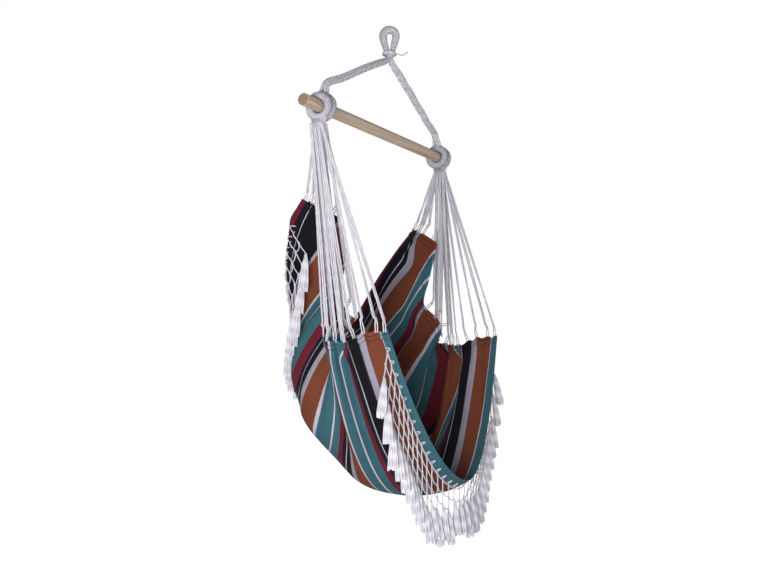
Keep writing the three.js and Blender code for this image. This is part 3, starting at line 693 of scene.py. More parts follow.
def eye_radius(share):
    level = np.interp(share, np.linspace(0, 1, len(eye_line)), eye_line[:, 2])
    full = smoothstep(level, throat_top, crown_level)
    return (NECK_STRAND + (EYE_ROPE - NECK_STRAND) * full) / 2


eye_bundle = Bundle()
eye_bundle.tube(eye_line, whipped(eye_radius, WRAP_PITCH, WRAP_RIDGE), sides=32)
# The eye's two sides end in a core under the binding
core_line = [(0, 0, z) for z in np.linspace(throat_bottom, throat_top, 12)]
core_radii = [CORE_END_RADIUS] + [CORE_RADIUS] * 10 + [CORE_END_RADIUS]
eye_bundle.tube(core_line, core_radii, sides=32)
settle(eye_bundle.piece("rope_eye", whipping), "eye", "whipped_rope", "hanging_eye")

# %% Neck binding
binding_bundle = Bundle()
BINDING_TURNS = 4
binding_cord = 3.0 * MM
turn_count = 40 * BINDING_TURNS
angles = np.linspace(0, 2 * np.pi * BINDING_TURNS, turn_count)
levels = NECK_LEVEL + np.linspace(4.2, -4.2, turn_count) * MM
# The turns lie round the core: its radius, a gap, the cord's own radius and some slack
turn_radius = (19.08 + 0.5 + 1.5 + 0.7) * MM
radii = turn_radius + 0.5 * MM * np.sin(angles * 0.7)
binding_line = np.stack([radii * np.cos(angles), radii * np.sin(angles), levels], 1)
binding_bundle.tube(
    binding_line,
    lambda share, angle, length: binding_cord / 2 * (1 + 0.08 * np.cos(3 * angle + length * 700)),
    sides=10,
)
# One turn crosses the others and is tucked in
crossing_radius = 22.0 * MM
crossing = [
    (crossing_radius * math.cos(a), crossing_radius * math.sin(a), NECK_LEVEL + z * MM)
    for a, z in zip(np.radians(np.linspace(150, 215, 9)), np.linspace(-5.5, 5.5, 9))
]
binding_bundle.tube(smooth_line(crossing, 24), 1.6 * MM, sides=10)
settle(binding_bundle.piece("neck_binding_cords", seat_cord), "neck", "whipped_rope", "neck_binding")

# %% [markdown]
# ## Legs and rings
# A leg is a bundle of five cords. On the near side they lie nearly parallel, and on the far side the
# bundle is loosely twisted. The same cords bend round the bar and are closely wound there, which
# makes the ring, so the leg's cords run in under the first wraps at the ring's crown.

# %% Sizes of the rings
BAR_LEVEL = -334 * MM
BAR_RADIUS = 17.5 * MM
RING_ROPE_RADIUS = 12 * MM
RING_PLAY = 1.6 * MM
RING_WRAPS, STEPS_PER_WRAP = 40, 8
RING_RIDGE = 1.5 * MM
RING_INSET = 0.95 * MM  # keeps the highest wraps clear of the bar
ring_radius = BAR_RADIUS + RING_PLAY + RING_ROPE_RADIUS
ring_seat = RING_PLAY - TOUCH
RING_SPAN, RING_PITCH, RING_SHIFT = 840 * MM, 26 * MM, -23 * MM
SIDES = {"right": -1, "left": 1}


def ring_x(side, outer):
    return RING_SHIFT + side * (RING_SPAN + (RING_PITCH if outer else -RING_PITCH)) / 2


def ring_level(outer):
    return BAR_LEVEL + (-ring_seat if outer else ring_seat)


def ring_bundle(side, outer):
    """Whipped ring: a closed loop of rope with a whole number of wraps round it."""
    turn = np.linspace(0, 2 * np.pi, RING_WRAPS * STEPS_PER_WRAP, endpoint=False)
    line = np.stack(
        [
            np.full(len(turn), ring_x(side, outer)),
            ring_radius * np.sin(turn),
            ring_level(outer) + ring_radius * np.cos(turn),
        ],
        1,
    )
    pitch = 2 * np.pi * ring_radius / RING_WRAPS

    def radius(share, angle, length):
        ridge = RING_RIDGE * (np.abs(np.sin(np.pi * length / pitch)) - RIDGE_MIDDLE)
        uneven = 0.2 * MM * np.sin(length * 95 + side) + 0.15 * MM * np.sin(length * 211)
        return RING_ROPE_RADIUS + ridge + uneven - RING_INSET

    bundle = Bundle()
    bundle.tube(line, radius, sides=28, closed=True, start=(1, 0, 0))
    return bundle


# %% Legs with their upper rings
LEG_CORD_RADIUS = 4.9 * MM
LEG_BUNDLE_RADIUS = 7.0 * MM
LEG_CORD_COUNT = 5
LEG_TWISTS = {"right": 0.12, "left": 0.9}  # turns of the whole bundle
leg_top_level = throat_bottom - TOUCH - 11 * MM
leg_shoulder_level = BAR_LEVEL + 72 * MM


def leg_bundle(side, twist):
    crown = (ring_x(side, False), 0, BAR_LEVEL + 43 * MM)
    shoulder = (ring_x(side, False) - side * 16 * MM, 0, leg_shoulder_level)
    start = (side * 9 * MM, 0, leg_top_level)
    above = (side * 3 * MM, 0, leg_top_level + 10 * MM)
    middle = [tuple(np.array(start) + (np.array(shoulder) - start) * k) for k in (0.25, 0.5, 0.75)]
    centre = smooth_line([above, start, *middle, shoulder, crown], 150)
    tangents = unit(np.gradient(centre, axis=0))
    share = np.linspace(0, 1, len(centre))
    flat = np.cross(tangents, [0, 1, 0])
    bundle = Bundle()
    for k in range(LEG_CORD_COUNT):
        phase = 2 * np.pi * (k / LEG_CORD_COUNT + twist * share) + 0.5
        spread = LEG_BUNDLE_RADIUS * (0.72 + 0.28 * smoothstep(share, 0.02, 0.15))
        spread = spread * (1 + 0.08 * np.sin(9 * share + k * 1.9))
        ahead = np.sin(phase) * spread
        # At the ring the cords spread along its crown and sink in under the wraps
        ahead = ahead * (1 + 0.7 * smoothstep(share, 0.93, 1.0))
        line = centre + flat * (np.cos(phase) * spread)[:, None] + np.outer(ahead, [0, 1, 0])
        over = np.array([ring_x(side, False), line[-1, 1] * 1.35, BAR_LEVEL + 34 * MM])
        line = np.vstack([line, over])
        wave = lambda share, angle, length, k=k: LEG_CORD_RADIUS * (
            1 + 0.05 * np.cos(3 * angle + length * 260) + 0.04 * np.sin(length * 31 + k)
        )
        bundle.tube(smooth_line(line, 170), wave, sides=14)
    return bundle


for name, side in SIDES.items():
    leg = leg_bundle(side, LEG_TWISTS[name]).piece(f"leg_cords_{name}", seat_cord)
    settle(leg, "suspension", "whipped_rope", f"suspension_leg_{name}")
    ring = ring_bundle(side, False).piece(f"upper_whipped_ring_{name}", whipping)
    settle(ring, "suspension", "whipped_rope", f"upper_ring_{name}")

# %% Lower rings with their gathered necks
gather_waist_level = ring_level(True) - ring_radius - RING_ROPE_RADIUS - ring_seat
gather_bottom = gather_waist_level - 16 * MM
NECK_CORDS = 16

for name, side in SIDES.items():
    ring = ring_bundle(side, True)
    # The neck: cords that leave the ring on both of its sides and close up to a round bunch
    for k in range(NECK_CORDS):
        turn = 2 * np.pi * (k + 0.5) / NECK_CORDS
        cosine, sine = math.cos(turn), math.sin(turn)
        x = ring_x(side, True)
        places = [
            (x + 6.5 * MM * cosine, 24 * MM * sine, ring_level(True) - (38 - 13 * abs(sine)) * MM),
            (x + 10.5 * MM * cosine, 19 * MM * sine, gather_waist_level + 2 * MM),
            (x + 14 * MM * cosine, 15.5 * MM * sine, gather_waist_level - 7 * MM),
            (x + 15 * MM * cosine, 15.5 * MM * sine, gather_bottom - 3 * MM),
        ]
        ring.tube(smooth_line(places, 18), 4.0 * MM, sides=10)
    piece = ring.piece(f"lower_whipped_ring_{name}", whipping)
    settle(piece, "seat", "whipped_rope", f"lower_ring_{name}")

# %% [markdown]
# ## Spreader bar
# A dowel is turned, so it is a lathed form: a long straight side, a small broken edge at each end and
# saw-flat faces. A very slight waver in its radius keeps the highlight from looking like drawn pipe.

# %% Spreader bar
BAR_LENGTH, BAR_SHIFT = 1000 * MM, -43 * MM
BAR_WAVER = 0.004  # of its radius
PLAIN_END = 20 * MM  # where the waver stops short of each end
end = BAR_LENGTH / 2
edge_steps = [(0.0, 4.0), (0.25, 1.2), (1.0, 0.3), (2.2, 0.0)]  # inwards from the end, and off the radius
stations = [(-end, 1 * MM), (-end, BAR_RADIUS / 2)]
stations += [(-end + inward * MM, BAR_RADIUS - off * MM) for inward, off in edge_steps]
for x in np.linspace(-end + PLAIN_END, end - PLAIN_END, 60):
    stations.append((x, BAR_RADIUS * (1 - BAR_WAVER * math.sin(x * 23))))
stations += [(end - inward * MM, BAR_RADIUS - off * MM) for inward, off in edge_steps[::-1]]
stations += [(end, BAR_RADIUS / 2), (end, 1 * MM)]
bar_sides = 64
turn = np.arange(bar_sides) * 2 * np.pi / bar_sides
bar_points = np.array(
    [
        [(BAR_SHIFT + x, radius * math.cos(a), BAR_LEVEL + radius * math.sin(a)) for a in turn]
        for x, radius in stations
    ]
)
bar_bundle = Bundle()
bar_bundle.grid(
    bar_points,
    len(stations),
    bar_sides,
    lambda i, j: np.stack([j / bar_sides, np.array([s[0] for s in stations])[i]], 1),
    around=True,
)
for row, x in ((0, -end), (len(stations) - 1, end)):
    centre = np.array([[BAR_SHIFT + x, 0, BAR_LEVEL]])
    spokes = np.arange(bar_sides)
    faces = np.stack([np.zeros(bar_sides, int), spokes + 1, (spokes + 1) % bar_sides + 1], 1)
    faces = np.hstack([faces, faces[:, 2:]])
    bar_bundle.add(np.vstack([centre, bar_points[row]]), faces, np.zeros((bar_sides, 4, 2)))
bar = bar_bundle.piece("wooden_bar", wood)
for polygon in bar.data.polygons:
    polygon.use_smooth = abs(polygon.normal.x) < 0.9
settle(bar, "bar", "bar_wood", "spreader_bar")

# %% [markdown]
# ## The shape of the cloth
# The cloth hangs from its two gathered hems, so its shape follows from where the strings pull. It is
# described by two lines, a hem and the middle, each as a table from the front edge to the back edge, and
# by how the cloth rises and turns from the middle out to the hem. These are the same tables that the
# CAD solid is made from, so the smooth cloth lies where the solid is. The pleats, further down, are only
# in this script.

# %% Where the cloth hangs
FRONT_CORNER_REACH, BACK_CORNER_REACH = 209, 100
FRONT_DIP_REACH, BACK_DIP_REACH = 277, 216
CORNER_SPAN, BACK_CORNER_RISE = 872, 395
FRONT_CORNER_LEVEL = -334 - 640
BACK_CORNER_LEVEL = FRONT_CORNER_LEVEL + BACK_CORNER_RISE
FRONT_DIP_LEVEL, BACK_DIP_LEVEL = FRONT_CORNER_LEVEL - 460, BACK_CORNER_LEVEL - 385
SEAT_SAG = 57
BOWL_POWER, SEAT_BACK_BOWL_POWER = 1.9, 3.6
EDGE_STEEP_SHARE, EDGE_STEEP_POWER = 0.4, 6
FRONT_TURN_POWER, BACK_TURN_POWER = 1.4, 9
CLOTH_BILLOW = 0.6

# Hem, front corner to back corner: cloth share, span share, depth share, rise share
HEM = np.array(
    [
        [0, 1, 0, 0],
        [0.049, 0.995, 0.078, -0.003],
        [0.103, 0.998, 0.249, -0.01],
        [0.131, 0.995, 0.314, -0.03],
        [0.17, 0.979, 0.43, -0.066],
        [0.201, 0.961, 0.495, -0.073],
        [0.231, 0.938, 0.515, -0.073],
        [0.262, 0.963, 0.56, -0.071],
        [0.298, 1, 0.608, -0.068],
        [0.358, 0.917, 0.725, -0.03],
        [0.436, 0.812, 0.612, -0.03],
        [0.48, 0.761, 0.547, 0.015],
        [0.52, 0.739, 0.54, 0.096],
        [0.56, 0.757, 0.625, 0.177],
        [0.614, 0.72, 0.735, 0.273],
        [0.655, 0.697, 0.715, 0.359],
        [0.7, 0.702, 0.673, 0.466],
        [0.74, 0.716, 0.647, 0.57],
        [0.775, 0.748, 0.628, 0.699],
        [0.81, 0.798, 0.628, 0.828],
        [0.83, 0.826, 0.706, 0.871],
        [0.869, 0.853, 0.835, 0.934],
        [0.897, 0.862, 0.88, 0.952],
        [0.967, 0.872, 0.939, 0.977],
        [1, 0.872, 1, 1],
    ]
)
# Middle, front edge to back edge: cloth share, depth share, sag share, climb share
MIDDLE = np.array(
    [
        [0, 0, 0, 0],
        [0.08, 0.14, 0.66, 0],
        [0.17, 0.31, 1, 0],
        [0.27, 0.48, 1, 0],
        [0.36, 0.62, 0.62, 0],
        [0.45, 0.74, 0, 0.07],
        [0.54, 0.89, 0, 0.25],
        [0.65, 0.98, 0, 0.48],
        [0.77, 0.99, 0, 0.7],
        [0.88, 0.995, 0, 0.85],
        [1, 1, 0, 1],
    ]
)


def lerp(start, finish, share):
    return start + (finish - start) * share


hem_points = np.stack(
    [
        HEM[:, 1] * CORNER_SPAN / 2,
        lerp(-FRONT_CORNER_REACH, BACK_CORNER_REACH, HEM[:, 2]),
        FRONT_CORNER_LEVEL + HEM[:, 3] * BACK_CORNER_RISE,
    ],
    1,
)
middle_points = np.stack(
    [
        np.zeros(len(MIDDLE)),
        lerp(-FRONT_DIP_REACH, BACK_DIP_REACH, MIDDLE[:, 1]),
        lerp(FRONT_DIP_LEVEL, BACK_DIP_LEVEL, MIDDLE[:, 3]) - MIDDLE[:, 2] * SEAT_SAG,
    ],
    1,
)
hem_curve, middle_curve = stretches(hem_points), stretches(middle_points)


def at_share(curve, table, share):
    stations = np.interp(share, table[:, 0], np.arange(len(table)))
    return stretch_points(curve, stations)


def smooth_cloth(along, share):
    """The cloth without folds, in millimetres. along goes from -1 at one hem to 1 at the other."""
    s = np.abs(along)
    hem = at_share(hem_curve, HEM, share)
    middle = at_share(middle_curve, MIDDLE, share)
    backness = smoothstep(share, 0.2, 0.6)
    steepness = smoothstep(share, 0.5, 1)
    gathering = backness * (1 - steepness)
    steep = EDGE_STEEP_SHARE * steepness
    bowl = lerp(BOWL_POWER, SEAT_BACK_BOWL_POWER, gathering)
    rise = (1 - steep) * s**bowl + steep * s**EDGE_STEEP_POWER
    turn = s ** lerp(FRONT_TURN_POWER, BACK_TURN_POWER, backness)
    spread = s * (1 + CLOTH_BILLOW * gathering * (1 - s * s))
    return np.stack(
        [
            np.sign(along) * spread * hem[..., 0],
            lerp(middle[..., 1], hem[..., 1], turn),
            lerp(middle[..., 2], hem[..., 2], rise),
        ],
        -1,
    )


def face_normal(surface, along, share, step):
    """Out of the face that the sitter touches, from small steps along and across a surface."""
    a0, a1 = np.clip(along - step, -1, 1), np.clip(along + step, -1, 1)
    s0, s1 = np.clip(share - step, 0, 1), np.clip(share + step, 0, 1)
    along_step = surface(a1, share) - surface(a0, share)
    across_step = surface(along, s1) - surface(along, s0)
    return unit(np.cross(along_step, across_step))


def cloth_normal(along, share):
    return face_normal(smooth_cloth, along, share, 0.01)


print("front edge dips to", FRONT_DIP_LEVEL - SEAT_SAG, "mm")

# %% [markdown]
# ## Folds
# Where a string pulls the hem, the cloth is drawn to a point, and between two strings it bags out in a
# small pleat. The pleats join to wider folds a hand's width from the hem, and these fade out in the
# seat. Each size of fold is a wave across the stripes with its own depth and reach. At the sides the
# cloth also lies in a few deep pleats that hide whole stripes. They follow no rule, so they are two
# tables, chosen after the photograph, and the two sides differ. The back edge rolls over.

# %% Deep pleats
STRING_COUNT = 20
string_shares = np.concatenate([np.linspace(0.02, 0.6, 15), np.linspace(0.83, 0.98, 5)])

# Each row of a table has a place across the cloth (share), how much cloth the pleats have taken up there in
# the seat and at the hem (shares), and how far it lies off the smooth cloth, in millimetres, towards the
# sitter if positive. Where the second or third number grows faster than the first, the cloth turns back
# on itself.
IN_SEAT, AT_HEM, DEPTH = 1, 2, 3
RIGHT_PLEATS = np.array(
    [
        [0, 0, 0, 0],
        [0.165, 0, 0, 0],
        [0.2, 0, 0.03, 10],
        [0.236, 0, 0.05, 8],
        [0.262, 0, 0.04, 0],
        [0.304, 0, 0, 0],
        [0.33, 0.026, 0.024, 10],
        [0.36, 0.075, 0.053, 22],
        [0.42, 0.145, 0.11, 24],
        [0.49, 0.17, 0.165, 18],
        [0.53, 0.155, 0.155, 9],
        [0.565, 0.078, 0.078, 0],
        [0.62, 0.094, 0.09, 0],
        [0.648, 0.112, 0.11, 7],
        [0.694, 0.142, 0.14, 7],
        [0.72, 0.157, 0.15, 0],
        [0.75, 0.151, 0.15, -4],
        [0.82, 0.105, 0.09, 0],
        [0.865, 0.07, 0.06, 0],
        [0.905, 0.098, 0.09, 6],
        [0.96, 0, 0, 0],
        [1, 0, 0, 0],
    ]
)
LEFT_PLEATS = np.array(
    [
        [0, 0, 0, 0],
        [0.172, 0.01, 0, 0],
        [0.2, 0.035, 0.025, -12],
        [0.27, 0.12, 0.085, -20],
        [0.304, 0.145, 0.095, -8],
        [0.32, 0.148, 0.09, 4],
        [0.36, 0.125, 0.05, 4],
        [0.385, 0.15, 0.07, -10],
        [0.42, 0.19, 0.1, -24],
        [0.46, 0.2, 0.13, -22],
        [0.49, 0.15, 0.13, -12],
        [0.53, 0.12, 0.1, -4],
        [0.56, 0.045, 0.03, 0],
        [0.61, 0.04, 0.01, 0],
        [0.63, 0.055, 0.02, -6],
        [0.67, 0.105, 0.055, -16],
        [0.72, 0.142, 0.09, -10],
        [0.75, 0.14, 0.09, 0],
        [0.8, 0.128, 0.03, 4],
        [0.84, 0.098, 0.005, 2],
        [0.878, 0.055, -0.018, 0],
        [0.906, 0.064, -0.01, 0],
        [0.946, 0.084, 0.005, 0],
        [0.965, 0, 0, 0],
        [1, 0, 0, 0],
    ]
)


def table_at(table, column, share):
    """A smooth line through one column of a table of pleats."""
    before, here, after = (
        np.interp(share + shift, table[:, 0], table[:, column]) for shift in (-0.006, 0, 0.006)
    )
    return (before + 2 * here + after) / 4


def pleated(along, share):
    """The smooth cloth's share at which a place lies once the pleats are laid, and its depth there."""
    s = np.abs(along)
    grown, at_hem = smoothstep(s, 0.2, 0.95), smoothstep(s, 0.93, 1)
    deepened = smoothstep(s, 0.3, 0.75) * (1 - 0.8 * smoothstep(s, 0.9, 1))
    laid = []
    for table in (RIGHT_PLEATS, LEFT_PLEATS):
        taken = lerp(grown * table_at(table, IN_SEAT, share), table_at(table, AT_HEM, share), at_hem)
        laid.append((share - taken, deepened * table_at(table, DEPTH, share)))
    (right_base, right_depth), (left_base, left_depth) = laid
    right = along < 0
    return np.where(right, right_base, left_base), np.where(right, right_depth, left_depth)


# %% Folds, small pleats and the drawn hem
FOLD_COUNT, FOLD_DEPTH = 6, 6  # depths in millimetres
PLEAT_DEPTH = 5.5
CREASE_COUNT, CREASE_DEPTH = 9.5, 5
SWELL_DEPTH = 3
SCALLOP = 2.5
WIDE_GAP = 0.09  # share between two strings from which the hem hangs free


def string_rhythm(share):
    """How many strings lie before a place, and 1 where they stand close or 0 where they leave a gap."""
    phase = np.interp(share, string_shares, np.arange(STRING_COUNT))
    spacing = np.interp(share, string_shares, np.gradient(string_shares))
    return phase, smoothstep(WIDE_GAP - spacing, 0, 0.05)


def fold_height(along, share):
    """How far the cloth stands off its smooth shape, in millimetres, out of the sitter's face."""
    s = np.abs(along)
    side = np.sign(along)
    fades = smoothstep(share, 0.16, 0.3) * (1 - smoothstep(share, 0.72, 0.84))
    main = FOLD_DEPTH * np.sin(2 * np.pi * FOLD_COUNT * share) * fades * s**2 * (1 - s**8)
    phase, close = string_rhythm(share)
    inside = smoothstep(share, 0.02, 0.04) * (1 - smoothstep(share, 0.96, 0.98))
    bag = (1 - np.cos(2 * np.pi * phase)) / 2
    pleats = -PLEAT_DEPTH * bag * close * inside * smoothstep(s, 0.8, 0.97)
    wander = share + 0.012 * np.sin(9 * s + 3 * side)
    reach = smoothstep(s, 0.45, 0.85) * (1 - smoothstep(s, 0.93, 1.0))
    creases = CREASE_DEPTH * np.sin(2 * np.pi * CREASE_COUNT * wander + side) * reach * inside
    creases = creases * (1 - fades * 0.3)
    swell = SWELL_DEPTH * np.sin(7 * along + 11 * share + 1) * np.sin(13 * share + 2 * along)
    ease = smoothstep(share, 0.05, 0.15) * (1 - smoothstep(share, 0.88, 0.97)) * (1 - s**6)
    return main + pleats + creases + swell * ease


def hem_scallop(along, share):
    """How far the hem's edge is drawn towards the strings, in millimetres."""
    phase, close = string_rhythm(share)
    peak = np.cos(2 * np.pi * phase)
    return (SCALLOP * peak - 1) * close * smoothstep(np.abs(along), 0.93, 1.0)


# %% The rolled back edge, and the whole cloth
# It rolls towards the sitter on the right side, and away from the sitter on the left side. The table has
# places along the cloth and how far it rolls there
CURL_START, CURL_RADIUS = 0.96, 10.0  # share of the width, and millimetres
CURL_TABLE = np.array([[-1, 0], [-0.97, 0], [-0.86, -1], [-0.3, -1], [0.3, 1], [0.9, 1], [1, 0.4]])
CORNER_DRAWN_IN = 0.55  # share of the rolled strip that is drawn in at the right corner


def cloth_place(along, share):
    """A place half way through the cloth, in millimetres, with all its folds."""
    step = 0.004
    along, share = np.broadcast_arrays(np.asarray(along, float), share)
    base, depth = pleated(along, share)
    beyond = np.maximum(base - CURL_START, 0)[..., None] * WIDTH_MM
    base = np.minimum(base, CURL_START)
    inner = smooth_cloth(along * (1 - step), base)
    here = smooth_cloth(along, base)
    outward = unit(here - inner + np.array([1e-9, 0, 0]))
    height = (depth + fold_height(along, base))[..., None]
    scallop = hem_scallop(along, base)[..., None]
    normal = cloth_normal(along, base)
    onward = unit(np.cross(normal, outward) * np.where(along[..., None] < 0, -1, 1))
    beyond = beyond * (1 - CORNER_DRAWN_IN * smoothstep(-along, 0.9, 1))[..., None]
    turn = beyond / CURL_RADIUS * np.interp(along, CURL_TABLE[:, 0], CURL_TABLE[:, 1])[..., None]
    turn = np.where(np.abs(turn) < 1e-4, 1e-4, turn)
    curl = (onward * np.sin(turn) - normal * (1 - np.cos(turn))) * beyond / turn
    return here + normal * height + outward * scallop + curl


def laid_normal(along, share):
    return face_normal(cloth_place, along, share, 0.003)


print("strings pull the hem every", round(np.diff(string_shares)[0] * WIDTH_MM), "mm of cloth")

# %% [markdown]
# ## The cloth as a thin shell
# The cloth is made as a fine closed shell: an inner and an outer face about 2 mm apart. It is thicker in
# the hems, where it is folded over, and thickest where the hem cord lies in it. The rows of stitches press
# grooves into it.

# %% Cloth
ALONG_STEPS, ACROSS_STEPS = ((261, 301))
SIDE_HEM = 0.045  # tunnel for the hem cord, as a share of half the cloth's length
STITCH_INSETS = (0.019, 0.042)  # two rows of stitches along each tunnel
FRONT_HEM, BACK_HEM = 0.022, 0.022
HALF_CLOTH, TUNNEL_EXTRA, HEM_EXTRA, CORD_SWELL = 0.9, 0.6, 0.8, 2.4  # mm
GROOVE_WIDTH, GROOVE_DEPTH = 0.0036, 0.8  # shares, of the half length and of the thickness
hem_stations = np.linspace(0, 1, 201)
AVERAGED = 17  # stations


def measure_hem(side):
    """How much longer the smooth cloth is than an even spacing near one hem, along that hem."""
    every = np.ones(len(hem_stations)) * side
    base = np.minimum(pleated(every * 0.97, hem_stations)[0], CURL_START)
    run = smooth_cloth(every, base) - smooth_cloth(every * 0.96, base)
    longer = np.linalg.norm(run, axis=1) * MM / (0.04 * CLOTH_HALF_LENGTH)
    return np.convolve(np.pad(longer, AVERAGED // 2, "edge"), np.ones(AVERAGED) / AVERAGED, "valid")


HEM_SPACING = {side: measure_hem(side) for side in (-1, 1)}


def hem_spacing(along, share):
    right, left = (np.interp(share, hem_stations, HEM_SPACING[side]) for side in (-1, 1))
    return np.where(np.asarray(along) < 0, right, left)


def half_thickness(along, share):
    s = 1 - (1 - np.abs(along)) * hem_spacing(along, share)
    tunnel = smoothstep(s, 1 - SIDE_HEM, 1 - SIDE_HEM + 0.004)
    edge = 1 - smoothstep(share, FRONT_HEM - 0.002, FRONT_HEM)
    edge = np.maximum(edge, smoothstep(share, 1 - BACK_HEM, 1 - BACK_HEM + 0.002))
    round_off = 1 - 0.6 * smoothstep(s, 0.985, 1.0) - 0.4 * (share < 0.001) - 0.4 * (share > 0.999)
    swell = CORD_SWELL * tunnel * np.sin(np.pi * np.clip((s - 1 + SIDE_HEM) / SIDE_HEM, 0, 1)) ** 0.7
    groove = sum(np.exp(-(((1 - s - inset) / GROOVE_WIDTH) ** 2)) for inset in STITCH_INSETS)
    thick = HALF_CLOTH + TUNNEL_EXTRA * tunnel + HEM_EXTRA * edge + swell
    return thick * round_off * (1 - GROOVE_DEPTH * groove)


def warped(count, low, high, dense):
    """Even steps, with more of them near both ends, where the hems are."""
    t = np.linspace(0, 1, count)
    return lerp(low, high, t - dense * np.sin(2 * np.pi * t) / (2 * np.pi))


along_values = warped(ALONG_STEPS, -1, 1, 0.55)
share_values = warped(ACROSS_STEPS, 0, 1, 0.35)
A, S = np.meshgrid(along_values, share_values, indexing="ij")
middle_face = cloth_place(A, S)
normals = laid_normal(A, S)
offset = half_thickness(A, S)[..., None] * normals
sitter_face = (middle_face + offset) * MM
outer_face = (middle_face - offset) * MM


MAP_END = 1.0065  # metres: the last stripe runs on to the edge, and the next one isn't begun


def cloth_map(i, j):
    """Metres of flat cloth. Near the hems they are true distances from the hem's edge."""
    along_at = along_values[np.clip(i, 0, ALONG_STEPS - 1)]
    share_at = share_values[np.clip(j, 0, ACROSS_STEPS - 1)]
    inset = 1 - np.abs(along_at)
    true_inset = lerp(inset * hem_spacing(along_at, share_at), inset, smoothstep(inset, 0.05, 0.2))
    length = np.sign(along_at) * (1 - true_inset) * CLOTH_HALF_LENGTH
    return np.stack([length, np.minimum(share_at * CLOTH_WIDTH, MAP_END)], 1)


cloth_bundle = Bundle()
cloth_bundle.grid(sitter_face, ALONG_STEPS, ACROSS_STEPS, cloth_map)
# The outer face is the same grid, taken from its other end, and four rims close the shell
mirrored_map = lambda i, j: cloth_map(i, ACROSS_STEPS - 1 - j)
cloth_bundle.grid(outer_face[:, ::-1], ALONG_STEPS, ACROSS_STEPS, mirrored_map)
for row in (0, ALONG_STEPS - 1):
    rim = np.stack([sitter_face[row], outer_face[row]], 0)
    rim_map = lambda i, j, row=row: cloth_map(np.full_like(j, row), j)
    cloth_bundle.grid(rim, 2, ACROSS_STEPS, rim_map)
for column in (0, ACROSS_STEPS - 1):
    rim = np.stack([sitter_face[:, column], outer_face[:, column]], 0)
    rim_map = lambda i, j, column=column: cloth_map(j, np.full_like(j, column))
    cloth_bundle.grid(rim, 2, ALONG_STEPS, rim_map)
cloth = cloth_bundle.piece("striped_seat_cloth", cloth_finish)
settle(cloth, "seat", "striped_cloth", "seat_cloth")

# %% [markdown]
# ## Stitches
# The tunnel hems are closed by two rows of machine stitches, and the front and back hems by one. Each
# stitch is a short bead of thread that tapers to its ends and lies on the cloth. A real stitch is about
# 3 mm long, and here it is 5 to 6 mm, so that it shows.


# %% Stitches
def on_cloth(along, share, lift):
    """A place on the cloth's face in metres. A negative lift is on the outer face."""
    along, share = np.asarray(along, float), np.asarray(share, float)
    way = np.sign(lift)
    height = way * half_thickness(along, share) + lift
    return (cloth_place(along, share) + laid_normal(along, share) * height[..., None]) * MM


STITCH_RADII = [0.3 * MM, 0.6 * MM, 0.3 * MM]
stitches = Bundle()
for side in (-1, 1):
    for inset in STITCH_INSETS:
        for face in (-1, 1):
            for centre in np.arange(0.006, 0.994, 0.0085):
                shares = centre + np.array([-0.0028, 0, 0.0028])
                alongs = side * (1 - inset / hem_spacing(side, shares))
                line = on_cloth(alongs, shares, face * 0.35)
                line[[0, 2]] -= laid_normal(alongs[1], centre) * face * 0.5 * MM
                stitches.tube(line, STITCH_RADII, sides=5)
for share in (FRONT_HEM - 0.002, 1 - BACK_HEM + 0.002):
    for centre in np.arange(-0.95, 0.95, 0.013):
        alongs = centre + np.array([-0.004, 0, 0.004])
        for face in (-1, 1):
            line = on_cloth(alongs, np.full(3, share), face * 0.3)
            stitches.tube(line, STITCH_RADII, sides=5)
thread = stitches.piece("hem_stitches", sewing_thread)
settle(thread, "seat", "striped_cloth", "seat_cloth")

# %% [markdown]
# ## Hem cords and eyelets
# A cord runs inside each tunnel hem and comes out as a small loop for every string. Only the loops are
# seen, so each loop is a cord that rises out of the hem, turns over and goes back in.


# %% Eyelets and strings
EYELET_HALF_WIDTH, EYELET_HEIGHT = 7.5 * 0.62, 26  # millimetres
# The loop's shape: across and up, as shares of its half width and its height
EYELET_SHARES = [(-0.75, -0.35), (-0.8, 0.2), (-0.75, 0.6), (-0.42, 0.93), (0, 1.04)]
EYELET_SHARES += [(0.42, 0.93), (0.75, 0.6), (0.8, 0.2), (0.75, -0.35)]
HEM_CORD_OUT = 2.3  # millimetres off the hem's edge
EYELET_RADIUS, CORD_RADIUS = 1.9 * MM, 2.5 * MM
CORD_LAY = 0.03  # metres for one turn of the strings' lobes
TOP_SPREAD = 1.22  # the gathered cords fill out the bunch below the ring


def hem_place(side, share):
    """Place and direction just off the hem's edge, as in the CAD model."""
    share = np.clip(share, 0, 1)
    edge = lambda at: smooth_cloth(np.float64(1), np.clip(at, 0, 1))
    inside = smooth_cloth(np.float64(0.95), share)
    along = unit(edge(share + 0.02) - edge(share - 0.02))
    out = edge(share) - inside
    out = unit(out - along * (out @ along))
    place = edge(share) + out * HEM_CORD_OUT
    flip = np.array([side, 1, 1])
    return place * flip, along * flip


def eyelet_line(side, share):
    middle, tangent = hem_place(side, share)
    target = np.array([ring_x(side, True), 0, gather_bottom]) / MM
    rise = unit(target - middle)
    rise = unit(rise - tangent * (rise @ tangent))
    return [
        middle + tangent * way * EYELET_HALF_WIDTH + rise * height * EYELET_HEIGHT
        for way, height in EYELET_SHARES
    ]


def string_ends(name, number):
    """Top and foot of a doubled string, read from its CAD solid."""
    points = np.array([v.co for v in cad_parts[f"string_{name}_{number:02d}"].data.vertices])
    levels = points[:, 2]
    top = points[levels > levels.max() - 1 * MM].mean(0)
    foot = points[levels < levels.min() + 1 * MM].mean(0)
    return top, foot


